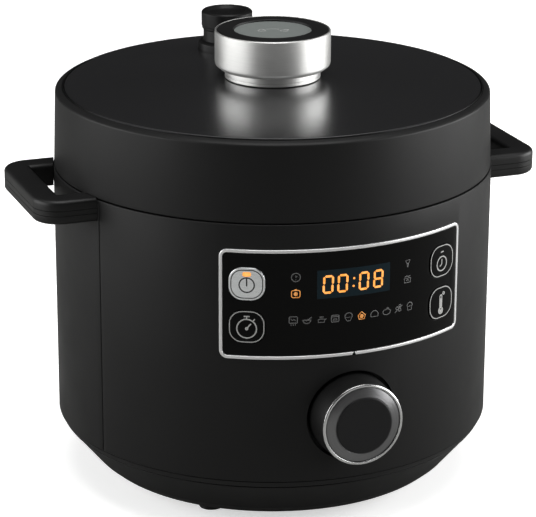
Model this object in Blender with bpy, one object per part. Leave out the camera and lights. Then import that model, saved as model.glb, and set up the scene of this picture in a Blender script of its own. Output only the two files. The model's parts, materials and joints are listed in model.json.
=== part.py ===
"""Electric pressure cooker with a rear-hinged lid that a large knob locks.

Run it in Blender 4.5, from the text editor or with blender --background --python.

The pot axis is the world Z axis and the floor is Z = 0. The front, with the control panel and
the dial, faces -Y. Sizes below are millimetres, and every mesh is turned into metres once, in
finished(). A bearing is measured round the pot axis, 0 at the front and positive towards +X.
The cooker stands closed and unlocked: the teeth of the lock ring are in the gaps of the flange.
"""

import math

import bmesh
import bpy
from mathutils import Matrix, Vector

MM = 0.001

# Clearances and mesh fineness
TOUCH = 0.3  # gap left between pieces that touch
SLIP = 0.4  # gap round a piece that slides or turns in another
LARGE = 30  # facets round the shells
MEDIUM = 20  # facets round the knob and the dial
SMALL = 10  # facets round shafts, pins and holes

# Body
BODY_RADIUS = 150.5
BODY_TOP = 220.6
BODY_WALL = 2.5
SHELL_SEAM_BEARING = 69.5
BASE_CLEARANCE = 7.0  # underside of the base pan above the floor
PAN_TOP = 43.4
PAN_FLAT_INSET = 35.9
PAN_CONE_FOOT = (22.8, 15.0)  # inset from the body radius, height
PAN_CONE_HEAD = (3.3, 39.0)
VENT_COUNT = 6
VENT_SIZE = (26.0, 4.0)
VENT_CIRCLE = 62.0
FOOT_RADIUS = 9.0
FOOT_CIRCLE = 99.0
FOOT_PEG_RADIUS = 3.5
SCREW_CIRCLE = 85.0
SCREW_RADIUS = 2.0
SCREW_HEAD = (4.5, 2.3)  # radius, height
SCREW_BEARINGS = (60.0, 180.0, 300.0)

# Handles
HANDLE_REACH = 30.2  # beyond the body radius
HANDLE_HALF_LENGTH = 52.0
HANDLE_BAR = 17.6
HANDLE_THICKNESS = 16.4
HANDLE_RISE = 1.6  # of the top above the body's rim
HANDLE_CORNER = 18.0
HANDLE_INNER_CORNER = 4.0
HANDLE_EDGE = 2.2

# Pots, heating and sensor
POT_RADIUS = 112.0
POT_WALL = 1.5
POT_CORNER = 14.0
POT_RIM_WIDTH = 5.0
POT_RIM_THICKNESS = 2.0
POT_RIM_DROP = 14.6  # rim top below the top of the body
POT_FLOOR = 62.0  # underside of the inner pot
POT_GAP = 4.0  # between the inner pot and the outer pot
OUTER_POT_WALL = 1.2
OUTER_POT_FLOOR = 44.5
OUTER_POT_CORNER = 8.0
OUTER_POT_FLANGE = 10.8
HEATER_INSET = 17.0
HEATER_THICKNESS = 12.0
SENSOR_RADIUS = 14.0
SPRING_RADIUS = 8.0
SPRING_WIRE = 0.8
SPRING_TURNS = 4

# Locking flange, lock ring and seal
TOOTH_COUNT = 6
LOCK_TOOTH_ANGLE = 26.0
FLANGE_GAP_ANGLE = 34.0
FLANGE_BORE_INSET = 6.5  # tooth tips of the flange, outside the pot radius
FLANGE_WALL_INSET = 13.0  # inside of the flange's wall, outside the pot radius
FLANGE_WALL = 2.0
FLANGE_TOOTH = 2.7
FLANGE_LIP = 4.0
FLANGE_TOP_DROP = 2.3  # flange top below the top of the body
LOCK_WALL = 3.5
LOCK_TOOTH_REACH = 6.1
LOCK_TOOTH_HEIGHT = 4.4
LOCK_PLATE = 2.5
LOCK_PLATE_RISE = 22.5  # underside of the lock ring's plate above its lower edge
SPOKE_WIDTH = 14.0
SPOKE_HUB = 20.0
GASKET_HEIGHT = 3.0
GASKET_LIP = 2.8
INNER_LID_THICKNESS = 1.5

# Collar round the pot opening, with the drip channel and its spout
COLLAR_WALL = 2.5
COLLAR_FLOOR_DROP = 14.1
COLLAR_LIP_DROP = 0.8
SPOUT_RADIUS = 4.0
SPOUT_BORE = 2.6
SPOUT_RISE = 5.4  # spout axis above the cup rim

# Lid
LID_SEAM = 0.8
LID_HEIGHT = 51.6
LID_INSET = 0.5
LID_DRAFT = 1.7
LID_WALL = 3.0
LID_SHOULDER = (4.8, 1.6)  # inward, upward
LID_SHELF = 6.0
TRIM_WIDTH = 0.8
PLATE_THICKNESS = 2.2
PLATE_EDGE_RISE = 2.0  # plate edge above the skirt's top corner
PLATE_DOME = 4.1
LINER_WALL = 2.5

# Knob
KNOB_RADIUS = 39.5
KNOB_HEIGHT = 24.9
KNOB_WALL = 2.9
KNOB_TOP_WIDTH = 11.3
KNOB_RECESS = 1.2
NECK_RADIUS = 32.7
NECK_HEIGHT = 7.1
NECK_SPIGOT = 23.5
KNOB_GAP = 0.7
SHAFT_RADIUS = 6.0
SHAFT_HUB_RADIUS = 9.0
NUT_RADIUS = 12.0
NUT_HEIGHT = 8.6

# Steam valve and float
VALVE_INSET = 19.5  # valve axis inside the pot radius
VALVE_COLLAR_RADIUS = 20.5
VALVE_COLLAR_RISE = 6.4  # above the lid plate at the valve axis
VALVE_NECK = (16.8, 8.4)  # radius, height
VALVE_CAP = (18.15, 12.8)
PIPE_RADIUS = 6.0
PIPE_BORE = 4.0
SHIELD_RADIUS = 11.5
FLOAT_INSET = 34.0
FLOAT_RADIUS = 2.0
FLOAT_TRAVEL = 3.2

# Lid hinge
HINGE_REACH = 8.0  # axis behind the body radius
HINGE_RADIUS = 6.2
HINGE_PIN_RADIUS = 2.2
HINGE_HALF_WIDTH = 26.0
HINGE_EAR = 6.0
HINGE_SPRING = (4.4, 0.9, 4)  # coil radius, wire radius, turns

# Control panel
PANEL_WIDTH = 177.0
PANEL_HEIGHT = 74.3
PANEL_TOP_DROP = 16.5
PANEL_CORNER = 5.5
FRAME_BAR = 2.9
FRAME_PROUD = 0.9
FRAME_DEPTH = 3.6
LENS_PROUD = 0.4
LENS_THICKNESS = 1.9
BUTTON_SIZE = (23.6, 22.0)
BUTTON_CORNER = 9.0
BUTTON_INSET = 18.1  # button middle to the panel's edge, round the body
BUTTON_ROWS = (0.3096, 0.7)  # down from the top of the panel, as shares of its height
BUTTON_PROUD = 0.8
BUTTON_DEPTH = 4.8
BUTTON_STEM = (2.5, 5.5)
BUTTON_TRAVEL = 1.0
DISPLAY_SIZE = (51.0, 20.0)
DISPLAY_DROP = 24.1
BOARD_SIZE = (160.0, 134.0)
BOARD_DEPTH = 27.9  # front of the board behind the body radius
BOARD_THICKNESS = 1.6

# Dial
DIAL_HEIGHT = 87.5
DIAL_RADIUS = 27.8
DIAL_FLARE = 0.8
DIAL_PROUD = 18.0
DIAL_DISC_RISE = 2.0
DIAL_DISC_RADIUS = 19.5
DIAL_TRIM = 2.0
DIAL_TRAVEL = 1.0
WELL_GAP = 2.4
WELL_DEPTH = 9.0
WELL_WALL = 2.0
ENCODER_SIZE = 14.0
ENCODER_SHAFT_RADIUS = 3.0

# Rear: condensation cup and mains inlet
CUP_SIZE = (64.0, 38.0)  # width, height
CUP_WALL = 2.0
CUP_FLANGE = (3.0, 2.0)
CUP_DROP = 33.4  # cup rim below the top of the body
HOOD_WIDTH = 70.0
HOOD_WALL = 2.5
INLET_HEIGHT = 76.0
INLET_FLANGE = (38.0, 30.0)
INLET_SOCKET = (24.0, 16.4)
INLET_DEPTH = 17.0
INLET_WALL = 2.5
INLET_PIN = (2.0, 4.0, 14.0)

# Heights and radii that follow from the sizes above
SHELL_BOTTOM = PAN_TOP + SLIP
LID_BOTTOM = BODY_TOP + LID_SEAM
LID_RADIUS = BODY_RADIUS - LID_INSET
LID_SHOULDER_HEIGHT = LID_BOTTOM + LID_HEIGHT
PLATE_OUTER = LID_RADIUS - LID_DRAFT - LID_SHOULDER[0] - TRIM_WIDTH - 2 * TOUCH
PLATE_EDGE_TOP = LID_SHOULDER_HEIGHT + PLATE_EDGE_RISE
POT_RIM_TOP = BODY_TOP - POT_RIM_DROP
POT_RIM_UNDER = POT_RIM_TOP - POT_RIM_THICKNESS
POT_RIM_RADIUS = POT_RADIUS + POT_RIM_WIDTH
OUTER_POT_RADIUS = POT_RADIUS + POT_GAP + OUTER_POT_WALL
OUTER_POT_TOP = POT_RIM_UNDER - TOUCH
FLANGE_TOP = BODY_TOP - FLANGE_TOP_DROP
FLANGE_INNER = POT_RADIUS + FLANGE_WALL_INSET
FLANGE_OUTER = FLANGE_INNER + FLANGE_WALL
GASKET_BOTTOM = POT_RIM_TOP + TOUCH
GASKET_RADIUS = POT_RIM_RADIUS - 0.5
INNER_LID_RADIUS = POT_RADIUS - 1.2
INNER_LID_BOTTOM = GASKET_BOTTOM + GASKET_HEIGHT + 2 * TOUCH
LOCK_BOTTOM = GASKET_BOTTOM + GASKET_HEIGHT + TOUCH
LOCK_OUTER = POT_RADIUS + 4.8
LOCK_INNER = LOCK_OUTER - LOCK_WALL
LOCK_PLATE_BOTTOM = LOCK_BOTTOM + LOCK_PLATE_RISE
LINER_INNER = LOCK_OUTER + 2.0
COLLAR_INNER = FLANGE_OUTER + 1.2
COLLAR_OUTER = BODY_RADIUS - BODY_WALL - 0.7
COLLAR_BOTTOM = BODY_TOP - COLLAR_FLOOR_DROP
VALVE_Y = POT_RADIUS - VALVE_INSET
FLOAT_X = POT_RADIUS - FLOAT_INSET
HINGE_Y = BODY_RADIUS + HINGE_REACH
HINGE_Z = BODY_TOP + LID_SEAM / 2
PANEL_TOP = BODY_TOP - PANEL_TOP_DROP
PANEL_MIDDLE = PANEL_TOP - PANEL_HEIGHT / 2
BUTTON_BEARING = math.degrees((PANEL_WIDTH / 2 - BUTTON_INSET) / BODY_RADIUS)
BOARD_FRONT = BODY_RADIUS - BOARD_DEPTH
WELL_FLOOR = BODY_RADIUS - WELL_DEPTH
DIAL_REAR = WELL_FLOOR + 2 * DIAL_TRAVEL
DIAL_FRONT = BODY_RADIUS + DIAL_PROUD
DIAL_TIP = DIAL_FRONT + DIAL_DISC_RISE
CUP_TOP = BODY_TOP - CUP_DROP
SPOUT_HEIGHT = CUP_TOP + SPOUT_RISE
CUP_INNER_Y = BODY_RADIUS + 1.2

# Finishes: base colour (linear), roughness, metallic
FINISHES = {
    "matte_black_abs": ((0.018, 0.018, 0.018), 0.5, 0.0),
    "satin_black_plate": ((0.012, 0.012, 0.013), 0.3, 0.0),
    "gloss_black": ((0.008, 0.008, 0.009), 0.08, 0.0),
    "brushed_aluminium": ((0.62, 0.62, 0.63), 0.3, 1.0),
    "grey_disc": ((0.06, 0.06, 0.06), 0.4, 0.0),
    "stainless_steel": ((0.55, 0.55, 0.56), 0.25, 1.0),
    "zinc_steel": ((0.45, 0.46, 0.47), 0.4, 1.0),
    "silicone": ((0.7, 0.7, 0.68), 0.6, 0.0),
    "black_rubber": ((0.015, 0.015, 0.015), 0.8, 0.0),
    "nonstick_pot": ((0.03, 0.03, 0.032), 0.45, 0.0),
    "circuit_board": ((0.02, 0.12, 0.04), 0.5, 0.0),
    "heater_aluminium": ((0.5, 0.5, 0.5), 0.5, 1.0),
    "clear_plastic": ((0.75, 0.78, 0.8), 0.1, 0.0),
}


def dome_height(radius):
    """Height of the lid plate's upper face at a radius."""
    return PLATE_EDGE_TOP + PLATE_DOME * (1 - (radius / PLATE_OUTER) ** 2)


# Places ------------------------------------------------------------------------------------


def facing(bearing, height=0.0):
    """Place whose Z axis points out of the body at a bearing, X to its side and Y up."""
    angle = math.radians(bearing)
    side = Vector((math.cos(angle), math.sin(angle), 0))
    out = Vector((math.sin(angle), -math.cos(angle), 0))
    place = Matrix.Identity(4)
    for row in range(3):
        place[row][0] = side[row]
        place[row][1] = (0, 0, 1)[row]
        place[row][2] = out[row]
    return Matrix.Translation((0, 0, height)) @ place


def across(y, z):
    """Place whose Z axis points along +X, its X axis along +Y and its Y axis up."""
    turn = Matrix(((0, 0, 1, 0), (1, 0, 0, 0), (0, 1, 0, 0), (0, 0, 0, 1)))
    return Matrix.Translation((0, y, z)) @ turn


def shifted(x, y, z=0.0):
    return Matrix.Translation((x, y, z))


def on_circle(radius, bearing):
    """Point (x, y) on a circle round the pot axis."""
    angle = math.radians(bearing)
    return radius * math.sin(angle), -radius * math.cos(angle)


# Outlines ----------------------------------------------------------------------------------


def arc(centre, radius, start, end, steps):
    """Points of an arc, its ends included, with angles in degrees from the first axis."""
    points = []
    for step in range(steps + 1):
        angle = math.radians(start + (end - start) * step / steps)
        points.append((centre[0] + radius * math.cos(angle), centre[1] + radius * math.sin(angle)))
    return points


def rounded_rectangle(width, height, corner, steps=4):
    across_half, up_half = width / 2 - corner, height / 2 - corner
    points = []
    for quarter, (x, y) in enumerate(((1, 1), (-1, 1), (-1, -1), (1, -1))):
        start = 90 * quarter
        points += arc((x * across_half, y * up_half), corner, start, start + 90, steps)
    return points


def rectangle(low, high):
    return [(low[0], low[1]), (high[0], low[1]), (high[0], high[1]), (low[0], high[1])]


# Solids ------------------------------------------------------------------------------------


def material(finish):
    """The finish's material, made the first time that it is asked for."""
    if finish in bpy.data.materials:
        return bpy.data.materials[finish]
    colour, roughness, metallic = FINISHES[finish]
    made = bpy.data.materials.new(finish)
    made.use_nodes = True
    shader = made.node_tree.nodes["Principled BSDF"]
    shader.inputs["Base Color"].default_value = (*colour, 1)
    shader.inputs["Roughness"].default_value = roughness
    shader.inputs["Metallic"].default_value = metallic
    return made


def finished(name, form, finish, place):
    """Turn a bmesh in millimetres into a named object in metres."""
    bmesh.ops.recalc_face_normals(form, faces=form.faces)
    if place is not None:
        form.transform(place)
    form.transform(Matrix.Scale(MM, 4))
    mesh = bpy.data.meshes.new(name)
    form.to_mesh(mesh)
    form.free()
    mesh.shade_smooth()
    mesh.set_sharp_from_angle(angle=math.radians(35))
    mesh.materials.append(material(finish))
    solid = bpy.data.objects.new(name, mesh)
    bpy.context.scene.collection.objects.link(solid)
    return solid


def turned(name, outline, finish="zinc_steel", segments=LARGE, place=None):
    """Solid of revolution about Z from (radius, height) points.

    An outline that starts on the axis ends on it; any other outline is closed, as a ring's.
    """
    form = bmesh.new()
    points = [form.verts.new((radius, 0, height)) for radius, height in outline]
    edges = [form.edges.new(pair) for pair in zip(points, points[1:])]
    if outline[0][0] > 0:
        edges.append(form.edges.new((points[-1], points[0])))
    bmesh.ops.spin(
        form, geom=points + edges, axis=(0, 0, 1), cent=(0, 0, 0),
        angle=math.tau, steps=segments, use_merge=True,
    )
    bmesh.ops.remove_doubles(form, verts=form.verts, dist=1e-4)
    return finished(name, form, finish, place)


def swept(name, outline, start, end, steps, finish="zinc_steel"):
    """Part of a turned ring, between two bearings, from (radius, height) points."""
    form = bmesh.new()
    face = form.faces.new([form.verts.new((0, -radius, height)) for radius, height in outline])
    form.transform(Matrix.Rotation(math.radians(start), 4, "Z"))
    bmesh.ops.spin(
        form, geom=[face, *face.edges, *face.verts], axis=(0, 0, 1), cent=(0, 0, 0),
        angle=math.radians(end - start), steps=steps,
    )
    return finished(name, form, finish, None)


def prism(name, outline, low, high, finish="zinc_steel", place=None):
    """Straight extrusion along Z of a flat outline."""
    form = bmesh.new()
    face = form.faces.new([form.verts.new((x, y, low)) for x, y in outline])
    grown = bmesh.ops.extrude_face_region(form, geom=[face])["geom"]
    tops = [item for item in grown if isinstance(item, bmesh.types.BMVert)]
    bmesh.ops.translate(form, vec=(0, 0, high - low), verts=tops)
    return finished(name, form, finish, place)


def block(name, low, high, finish="zinc_steel", place=None):
    """Box between two corners."""
    return prism(name, rectangle(low, high), low[2], high[2], finish, place)


def rod(name, radius, low, high, finish="zinc_steel", place=None, segments=SMALL):
    """Cylinder along Z whose flats, not its corners, are at the radius."""
    reach = radius / math.cos(math.pi / segments)
    outline = [(0, low), (reach, low), (reach, high), (0, high)]
    return turned(name, outline, finish, segments, place)


def curved_panel(name, size, corner, radii, middle, finish="zinc_steel"):
    """Rounded rectangle bent round the pot axis, its width measured along the body's wall."""
    half, tall = size[0] / 2, size[1] / 2
    left = [(-x, y) for x, y in reversed(arc((half - corner, tall - corner), corner, 0, 90, 4)[:-1])]
    left.reverse()
    spans = 9
    flat = half - corner
    centre = [(-flat + 2 * flat * step / spans, tall) for step in range(spans + 1)]
    right = [(-x, y) for x, y in reversed(left)]
    form = bmesh.new()
    columns = []
    for x, reach in left + centre + right:
        bearing = x / BODY_RADIUS
        side, out = math.sin(bearing), -math.cos(bearing)
        inner, outer = radii
        corners = ((inner, -reach), (outer, -reach), (outer, reach), (inner, reach))
        columns.append([form.verts.new((r * side, r * out, middle + z)) for r, z in corners])
    for before, after in zip(columns, columns[1:]):
        for edge in range(4):
            following = (edge + 1) % 4
            form.faces.new((before[edge], before[following], after[following], after[edge]))
    form.faces.new(columns[0])
    form.faces.new(columns[-1])
    return finished(name, form, finish, None)


def coil(name, radius, wire, turns, low, high, finish, place=None):
    """Helical spring along Z, from round wire with flat ends."""
    steps_per_turn, sides = 9, 4
    total = turns * steps_per_turn
    form = bmesh.new()
    rings = []
    for step in range(total + 1):
        angle = math.tau * step / steps_per_turn
        height = low + wire + (high - low - 2 * wire) * step / total
        ring = []
        for side in range(sides):
            around = math.tau * side / sides
            reach = radius + wire * math.cos(around)
            rise = height + wire * math.sin(around)
            ring.append(form.verts.new((reach * math.cos(angle), reach * math.sin(angle), rise)))
        rings.append(ring)
    for before, after in zip(rings, rings[1:]):
        for side in range(sides):
            following = (side + 1) % sides
            form.faces.new((before[side], before[following], after[following], after[side]))
    form.faces.new(rings[0])
    form.faces.new(rings[-1])
    return finished(name, form, finish, place)


# Joining, cutting and placing --------------------------------------------------------------


def combine(target, operation, tools):
    """Add a Boolean modifier for each tool, which becomes a hidden helper."""
    for tool in tools:
        modifier = target.modifiers.new(tool.name, "BOOLEAN")
        modifier.operation = operation
        modifier.object = tool
        tool.hide_render = True
        tool.display_type = "WIRE"
        tool.parent = target


def join(target, *tools):
    combine(target, "UNION", tools)


def cut(target, *tools):
    combine(target, "DIFFERENCE", tools)


def soften(solid, width, angle=40.0):
    """Round every edge sharper than the angle."""
    modifier = solid.modifiers.new("soft edges", "BEVEL")
    modifier.width = width * MM
    modifier.segments = 2
    modifier.limit_method = "ANGLE"
    modifier.angle_limit = math.radians(angle)


def pivot(name, x, y, z, parent=None):
    """Empty on a joint's axis, which carries the pieces that the joint moves."""
    empty = bpy.data.objects.new(name, None)
    empty.empty_display_size = 10 * MM
    bpy.context.scene.collection.objects.link(empty)
    place = Vector((x, y, z)) * MM
    empty["place"] = place
    if parent is not None:
        empty.parent = parent
        place = place - Vector(parent["place"])
    empty.location = place
    return empty


def attach(carrier, *pieces):
    """Hang pieces on a carrier without moving them."""
    offset = Matrix.Translation(-Vector(carrier["place"]))
    for piece in pieces:
        for solid in (piece, *piece.children_recursive):
            solid.data.transform(offset)
        piece.parent = carrier


# Body shells -------------------------------------------------------------------------------


def make_base_pan():
    """Cone-sided pan that closes the bottom, with vents, foot holes and screw holes."""
    foot_inset, foot_height = PAN_CONE_FOOT
    head_inset, head_height = PAN_CONE_HEAD
    inner = BODY_RADIUS - BODY_WALL
    floor = BASE_CLEARANCE + BODY_WALL
    pan = turned("base_pan", [
        (0, BASE_CLEARANCE),
        (BODY_RADIUS - PAN_FLAT_INSET, BASE_CLEARANCE),
        (BODY_RADIUS - PAN_FLAT_INSET + 6.5, BASE_CLEARANCE + 2.4),
        (BODY_RADIUS - foot_inset, foot_height),
        (BODY_RADIUS - head_inset, head_height),
        (BODY_RADIUS - 0.3, PAN_TOP),
        (inner - 0.5, PAN_TOP),
        (inner - head_inset - 0.2, head_height + 0.8),
        (inner - foot_inset + 0.4, foot_height + 1.8),
        (BODY_RADIUS - PAN_FLAT_INSET, floor),
        (0, floor),
    ], "matte_black_abs")
    below, above = BASE_CLEARANCE - 1, floor + 1
    for number in range(VENT_COUNT):
        turn = Matrix.Rotation(math.tau * (number + 0.5) / VENT_COUNT, 4, "Z")
        slot = rounded_rectangle(*VENT_SIZE, VENT_SIZE[1] / 3, 1)
        cut(pan, prism(f"vent_{number}", slot, below, above, place=turn @ shifted(VENT_CIRCLE, 0)))
    for x, y in foot_places():
        cut(pan, rod("foot_hole", FOOT_PEG_RADIUS + SLIP, below, above, place=shifted(x, y), segments=8))
    for x, y in screw_places():
        cut(pan, rod("screw_hole", SCREW_RADIUS + SLIP, below, above, place=shifted(x, y), segments=8))
    return pan


def foot_places():
    return [on_circle(FOOT_CIRCLE, bearing) for bearing in (-45, 45, 135, 225)]


def screw_places():
    return [on_circle(SCREW_CIRCLE, bearing) for bearing in SCREW_BEARINGS]


def make_feet():
    """Four rubber feet, each with a peg through the pan."""
    under = BASE_CLEARANCE - TOUCH
    outline = [
        (0, 0), (FOOT_RADIUS - 0.5, 0), (FOOT_RADIUS, under),
        (FOOT_PEG_RADIUS, under), (FOOT_PEG_RADIUS, under + 4), (0, under + 4),
    ]
    return [
        turned(f"foot_{number}", outline, "black_rubber", SMALL, shifted(x, y))
        for number, (x, y) in enumerate(foot_places(), 1)
    ]


def make_base_screws():
    """Screws up through the pan into the standoffs of the outer pot."""
    head, height = SCREW_HEAD
    under = BASE_CLEARANCE - TOUCH
    outline = [
        (0, under - height), (head - 0.5, under - height), (head, under), (SCREW_RADIUS, under), (SCREW_RADIUS, OUTER_POT_FLOOR - 16), (0, OUTER_POT_FLOOR - 16),
    ]
    return [
        turned(f"base_screw_{number}", outline, "zinc_steel", 8, shifted(x, y))
        for number, (x, y) in enumerate(screw_places(), 1)
    ]


def shell_outline():
    inner = BODY_RADIUS - BODY_WALL
    return [(inner, SHELL_BOTTOM), (BODY_RADIUS, SHELL_BOTTOM), (BODY_RADIUS, BODY_TOP), (inner, BODY_TOP)]


def make_front_shell():
    """Front wall with the panel opening and the round well of the dial."""
    gap = math.degrees(SLIP / 2 / BODY_RADIUS)
    seam = SHELL_SEAM_BEARING - gap
    shell = swept("front_shell", shell_outline(), -seam, seam, 24, "matte_black_abs")
    opening = (PANEL_WIDTH + 2 * TOUCH, PANEL_HEIGHT + 2 * TOUCH)
    cut(shell, curved_panel(
        "panel_opening", opening, PANEL_CORNER + TOUCH, (BODY_RADIUS - 12, BODY_RADIUS + 12), PANEL_MIDDLE,
    ))
    dial_axis = facing(0, DIAL_HEIGHT)
    well_radius = DIAL_RADIUS + DIAL_FLARE + WELL_GAP
    well = rod(
        "well_wall", well_radius + WELL_WALL, WELL_FLOOR - WELL_WALL, BODY_RADIUS + 10,
        place=dial_axis, segments=MEDIUM,
    )
    trim = rod("well_trim", BODY_RADIUS - BODY_WALL / 2, SHELL_BOTTOM, BODY_TOP, segments=LARGE)
    combine(well, "INTERSECT", [trim])
    join(shell, well)
    cut(shell, rod("well_bore", well_radius, WELL_FLOOR, BODY_RADIUS + 12, place=dial_axis, segments=MEDIUM))
    cut(shell, rod("well_hole", ENCODER_SHAFT_RADIUS + 1.4, WELL_FLOOR - 5, WELL_FLOOR + 5, place=dial_axis))
    return shell


def make_rear_shell():
    """Rear wall with the cup's hood and rails, the spout hole and the inlet's opening."""
    gap = math.degrees(SLIP / 2 / BODY_RADIUS)
    seam = SHELL_SEAM_BEARING + gap
    shell = swept("rear_shell", shell_outline(), seam, 360 - seam, 38, "matte_black_abs")
    half = HOOD_WIDTH / 2
    inside = BODY_RADIUS - BODY_WALL / 2
    top = SPOUT_HEIGHT + SPOUT_RADIUS + SLIP + HOOD_WALL
    flange_width, flange_height = CUP_FLANGE
    rail_top = CUP_TOP - flange_height - TOUCH
    hood = block("hood", (-half, inside - 8, CUP_TOP + SLIP), (half, DIAL_TIP - TOUCH, top))
    hollow = block(
        "hood_hollow",
        (-half + HOOD_WALL, BODY_RADIUS + 0.5, CUP_TOP - 1),
        (half - HOOD_WALL, DIAL_TIP - TOUCH - HOOD_WALL, top - HOOD_WALL),
    )
    cut(hood, hollow)
    core = rod("shell_core", BODY_RADIUS - BODY_WALL / 2, SHELL_BOTTOM - 5, BODY_TOP + 5, segments=LARGE)
    cut(hood, core)
    join(shell, hood)
    for side in (-1, 1):
        near = CUP_SIZE[0] / 2 + SLIP
        low, high = sorted((side * near, side * (near + flange_width + 1)))
        rail = block(f"rail_{side}", (low, inside - 8, rail_top - 3.5), (high, BODY_RADIUS + 14, rail_top))
        rail_core = rod(f"rail_core_{side}", BODY_RADIUS - BODY_WALL / 2, 0, BODY_TOP, segments=LARGE)
        cut(rail, rail_core)
        join(shell, rail)
    spout = facing(180, SPOUT_HEIGHT)
    cut(shell, rod("spout_hole", SPOUT_RADIUS + SLIP, BODY_RADIUS - 12, BODY_RADIUS + 2, place=spout))
    inlet = facing(180, INLET_HEIGHT)
    width, tall = INLET_SOCKET[0] + 2 * INLET_WALL + 2 * SLIP, INLET_SOCKET[1] + 2 * INLET_WALL + 2 * SLIP
    cut(shell, prism(
        "inlet_opening", rectangle((-width / 2, -tall / 2), (width / 2, tall / 2)), BODY_RADIUS - 15, BODY_RADIUS + 5,
        place=inlet,
    ))
    return shell


def make_handles():
    """A square loop on each side, cut to the body's wall."""
    outer, tall = BODY_RADIUS + HANDLE_REACH, HANDLE_HALF_LENGTH
    inner, short = outer - HANDLE_BAR, tall - HANDLE_BAR
    root = BODY_RADIUS - 22
    curve, bend = HANDLE_CORNER, HANDLE_INNER_CORNER
    outline = [(root, -tall)]
    outline += arc((outer - curve, -tall + curve), curve, -90, 0, 6)
    outline += arc((outer - curve, tall - curve), curve, 0, 90, 6)
    outline += [(root, tall), (root, short)]
    outline += arc((inner - bend, short - bend), bend, 90, 0, 3)
    outline += arc((inner - bend, -short + bend), bend, 0, -90, 3)
    outline += [(root, -short)]
    top = BODY_TOP + HANDLE_RISE
    handles = []
    for name, turn in (("handle_right", 0), ("handle_left", math.pi)):
        place = Matrix.Rotation(turn, 4, "Z")
        handle = prism(name, outline, top - HANDLE_THICKNESS, top, "matte_black_abs", place)
        soften(handle, HANDLE_EDGE, 60)
        cut(handle, rod(f"{name}_root", BODY_RADIUS + TOUCH, 0, BODY_TOP + 40, segments=LARGE))
        handles.append(handle)
    return handles


def make_top_collar():
    """Deck round the pot, with a channel for condensed water and a spout to the cup."""
    top = BODY_TOP - COLLAR_LIP_DROP
    floor = COLLAR_BOTTOM + COLLAR_WALL
    lip_top = FLANGE_TOP - FLANGE_WALL - 0.4
    collar = turned("top_collar", [
        (COLLAR_INNER, COLLAR_BOTTOM), (COLLAR_OUTER, COLLAR_BOTTOM), (COLLAR_OUTER, top),
        (COLLAR_OUTER - COLLAR_WALL, top), (COLLAR_OUTER - COLLAR_WALL, floor),
        (COLLAR_INNER + COLLAR_WALL, floor), (COLLAR_INNER + COLLAR_WALL, lip_top), (COLLAR_INNER, lip_top),
    ], "matte_black_abs")
    middle = (COLLAR_INNER + COLLAR_OUTER) / 2
    level = facing(180, SPOUT_HEIGHT)
    down = shifted(0, middle)
    reach = BODY_RADIUS + 10
    fall = rod("spout_fall", SPOUT_RADIUS, SPOUT_HEIGHT - 0.8 * SPOUT_RADIUS, floor - 0.5, place=down, segments=16)
    run = rod("spout_run", SPOUT_RADIUS, middle - 0.7 * SPOUT_RADIUS, reach, place=level, segments=16)
    join(collar, fall, run)
    bore_down = rod("spout_bore_fall", SPOUT_BORE, SPOUT_HEIGHT - 1.5, floor + 1, place=down, segments=12)
    bore_out = rod("spout_bore_run", 0.9 * SPOUT_BORE, middle - 1, reach + 1, place=level, segments=12)
    join(bore_down, bore_out)
    cut(collar, bore_down)
    return collar


# Pots, heating and electronics -------------------------------------------------------------


def cup_outline(radius, corner, wall, bottom, top, rim_radius, rim_under):
    """Closed outline of a flat-bottomed pot with a rounded corner and a turned-out rim."""
    outer = arc((radius - corner, bottom + corner), corner, -90, 0, 3)
    inner = arc((radius - corner, bottom + corner), corner - wall, 0, -90, 3)
    return (
        [(0, bottom), *outer, (radius, rim_under), (rim_radius, rim_under), (rim_radius, top)]
        + [(radius - wall, top), *inner, (0, bottom + wall)]
    )


def make_inner_pot():
    outline = cup_outline(
        POT_RADIUS, POT_CORNER, POT_WALL, POT_FLOOR, POT_RIM_TOP, POT_RIM_RADIUS, POT_RIM_UNDER,
    )
    return turned("inner_pot", outline, "nonstick_pot")


def make_outer_pot():
    """Housing of the inner pot, with three standoffs that the base screws thread into."""
    outline = cup_outline(
        OUTER_POT_RADIUS, OUTER_POT_CORNER, OUTER_POT_WALL, OUTER_POT_FLOOR, OUTER_POT_TOP,
        OUTER_POT_RADIUS + OUTER_POT_FLANGE, OUTER_POT_TOP - OUTER_POT_WALL,
    )
    pot = turned("outer_pot", outline, "stainless_steel")
    bottom = BASE_CLEARANCE + BODY_WALL + TOUCH
    for number, (x, y) in enumerate(screw_places(), 1):
        place = shifted(x, y)
        post = rod(f"standoff_{number}", 5.0, bottom, OUTER_POT_FLOOR + 0.6, place=place, segments=12)
        join(pot, post)
        hole = rod(f"standoff_bore_{number}", SCREW_RADIUS + TOUCH, bottom - 1, OUTER_POT_FLOOR - 15, place=place, segments=12)
        cut(pot, hole)
    return pot


def make_heating_plate():
    """Cast plate under the pot, on three legs, with a hole for the sensor."""
    top = POT_FLOOR - TOUCH
    bottom = top - HEATER_THICKNESS
    outer, hole = POT_RADIUS - HEATER_INSET, SENSOR_RADIUS + 2
    plate = turned("heating_plate", [
        (hole, bottom), (outer - 2, bottom), (outer, bottom + 2), (outer, top - 2), (outer - 2, top), (hole, top),
    ], "heater_aluminium")
    floor = OUTER_POT_FLOOR + OUTER_POT_WALL + TOUCH
    for number, bearing in enumerate((0, 120, 240), 1):
        place = shifted(*on_circle(outer - 20, bearing))
        join(plate, rod(f"heater_leg_{number}", 4.0, floor, bottom + 1, place=place, segments=12))
    return plate


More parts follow.
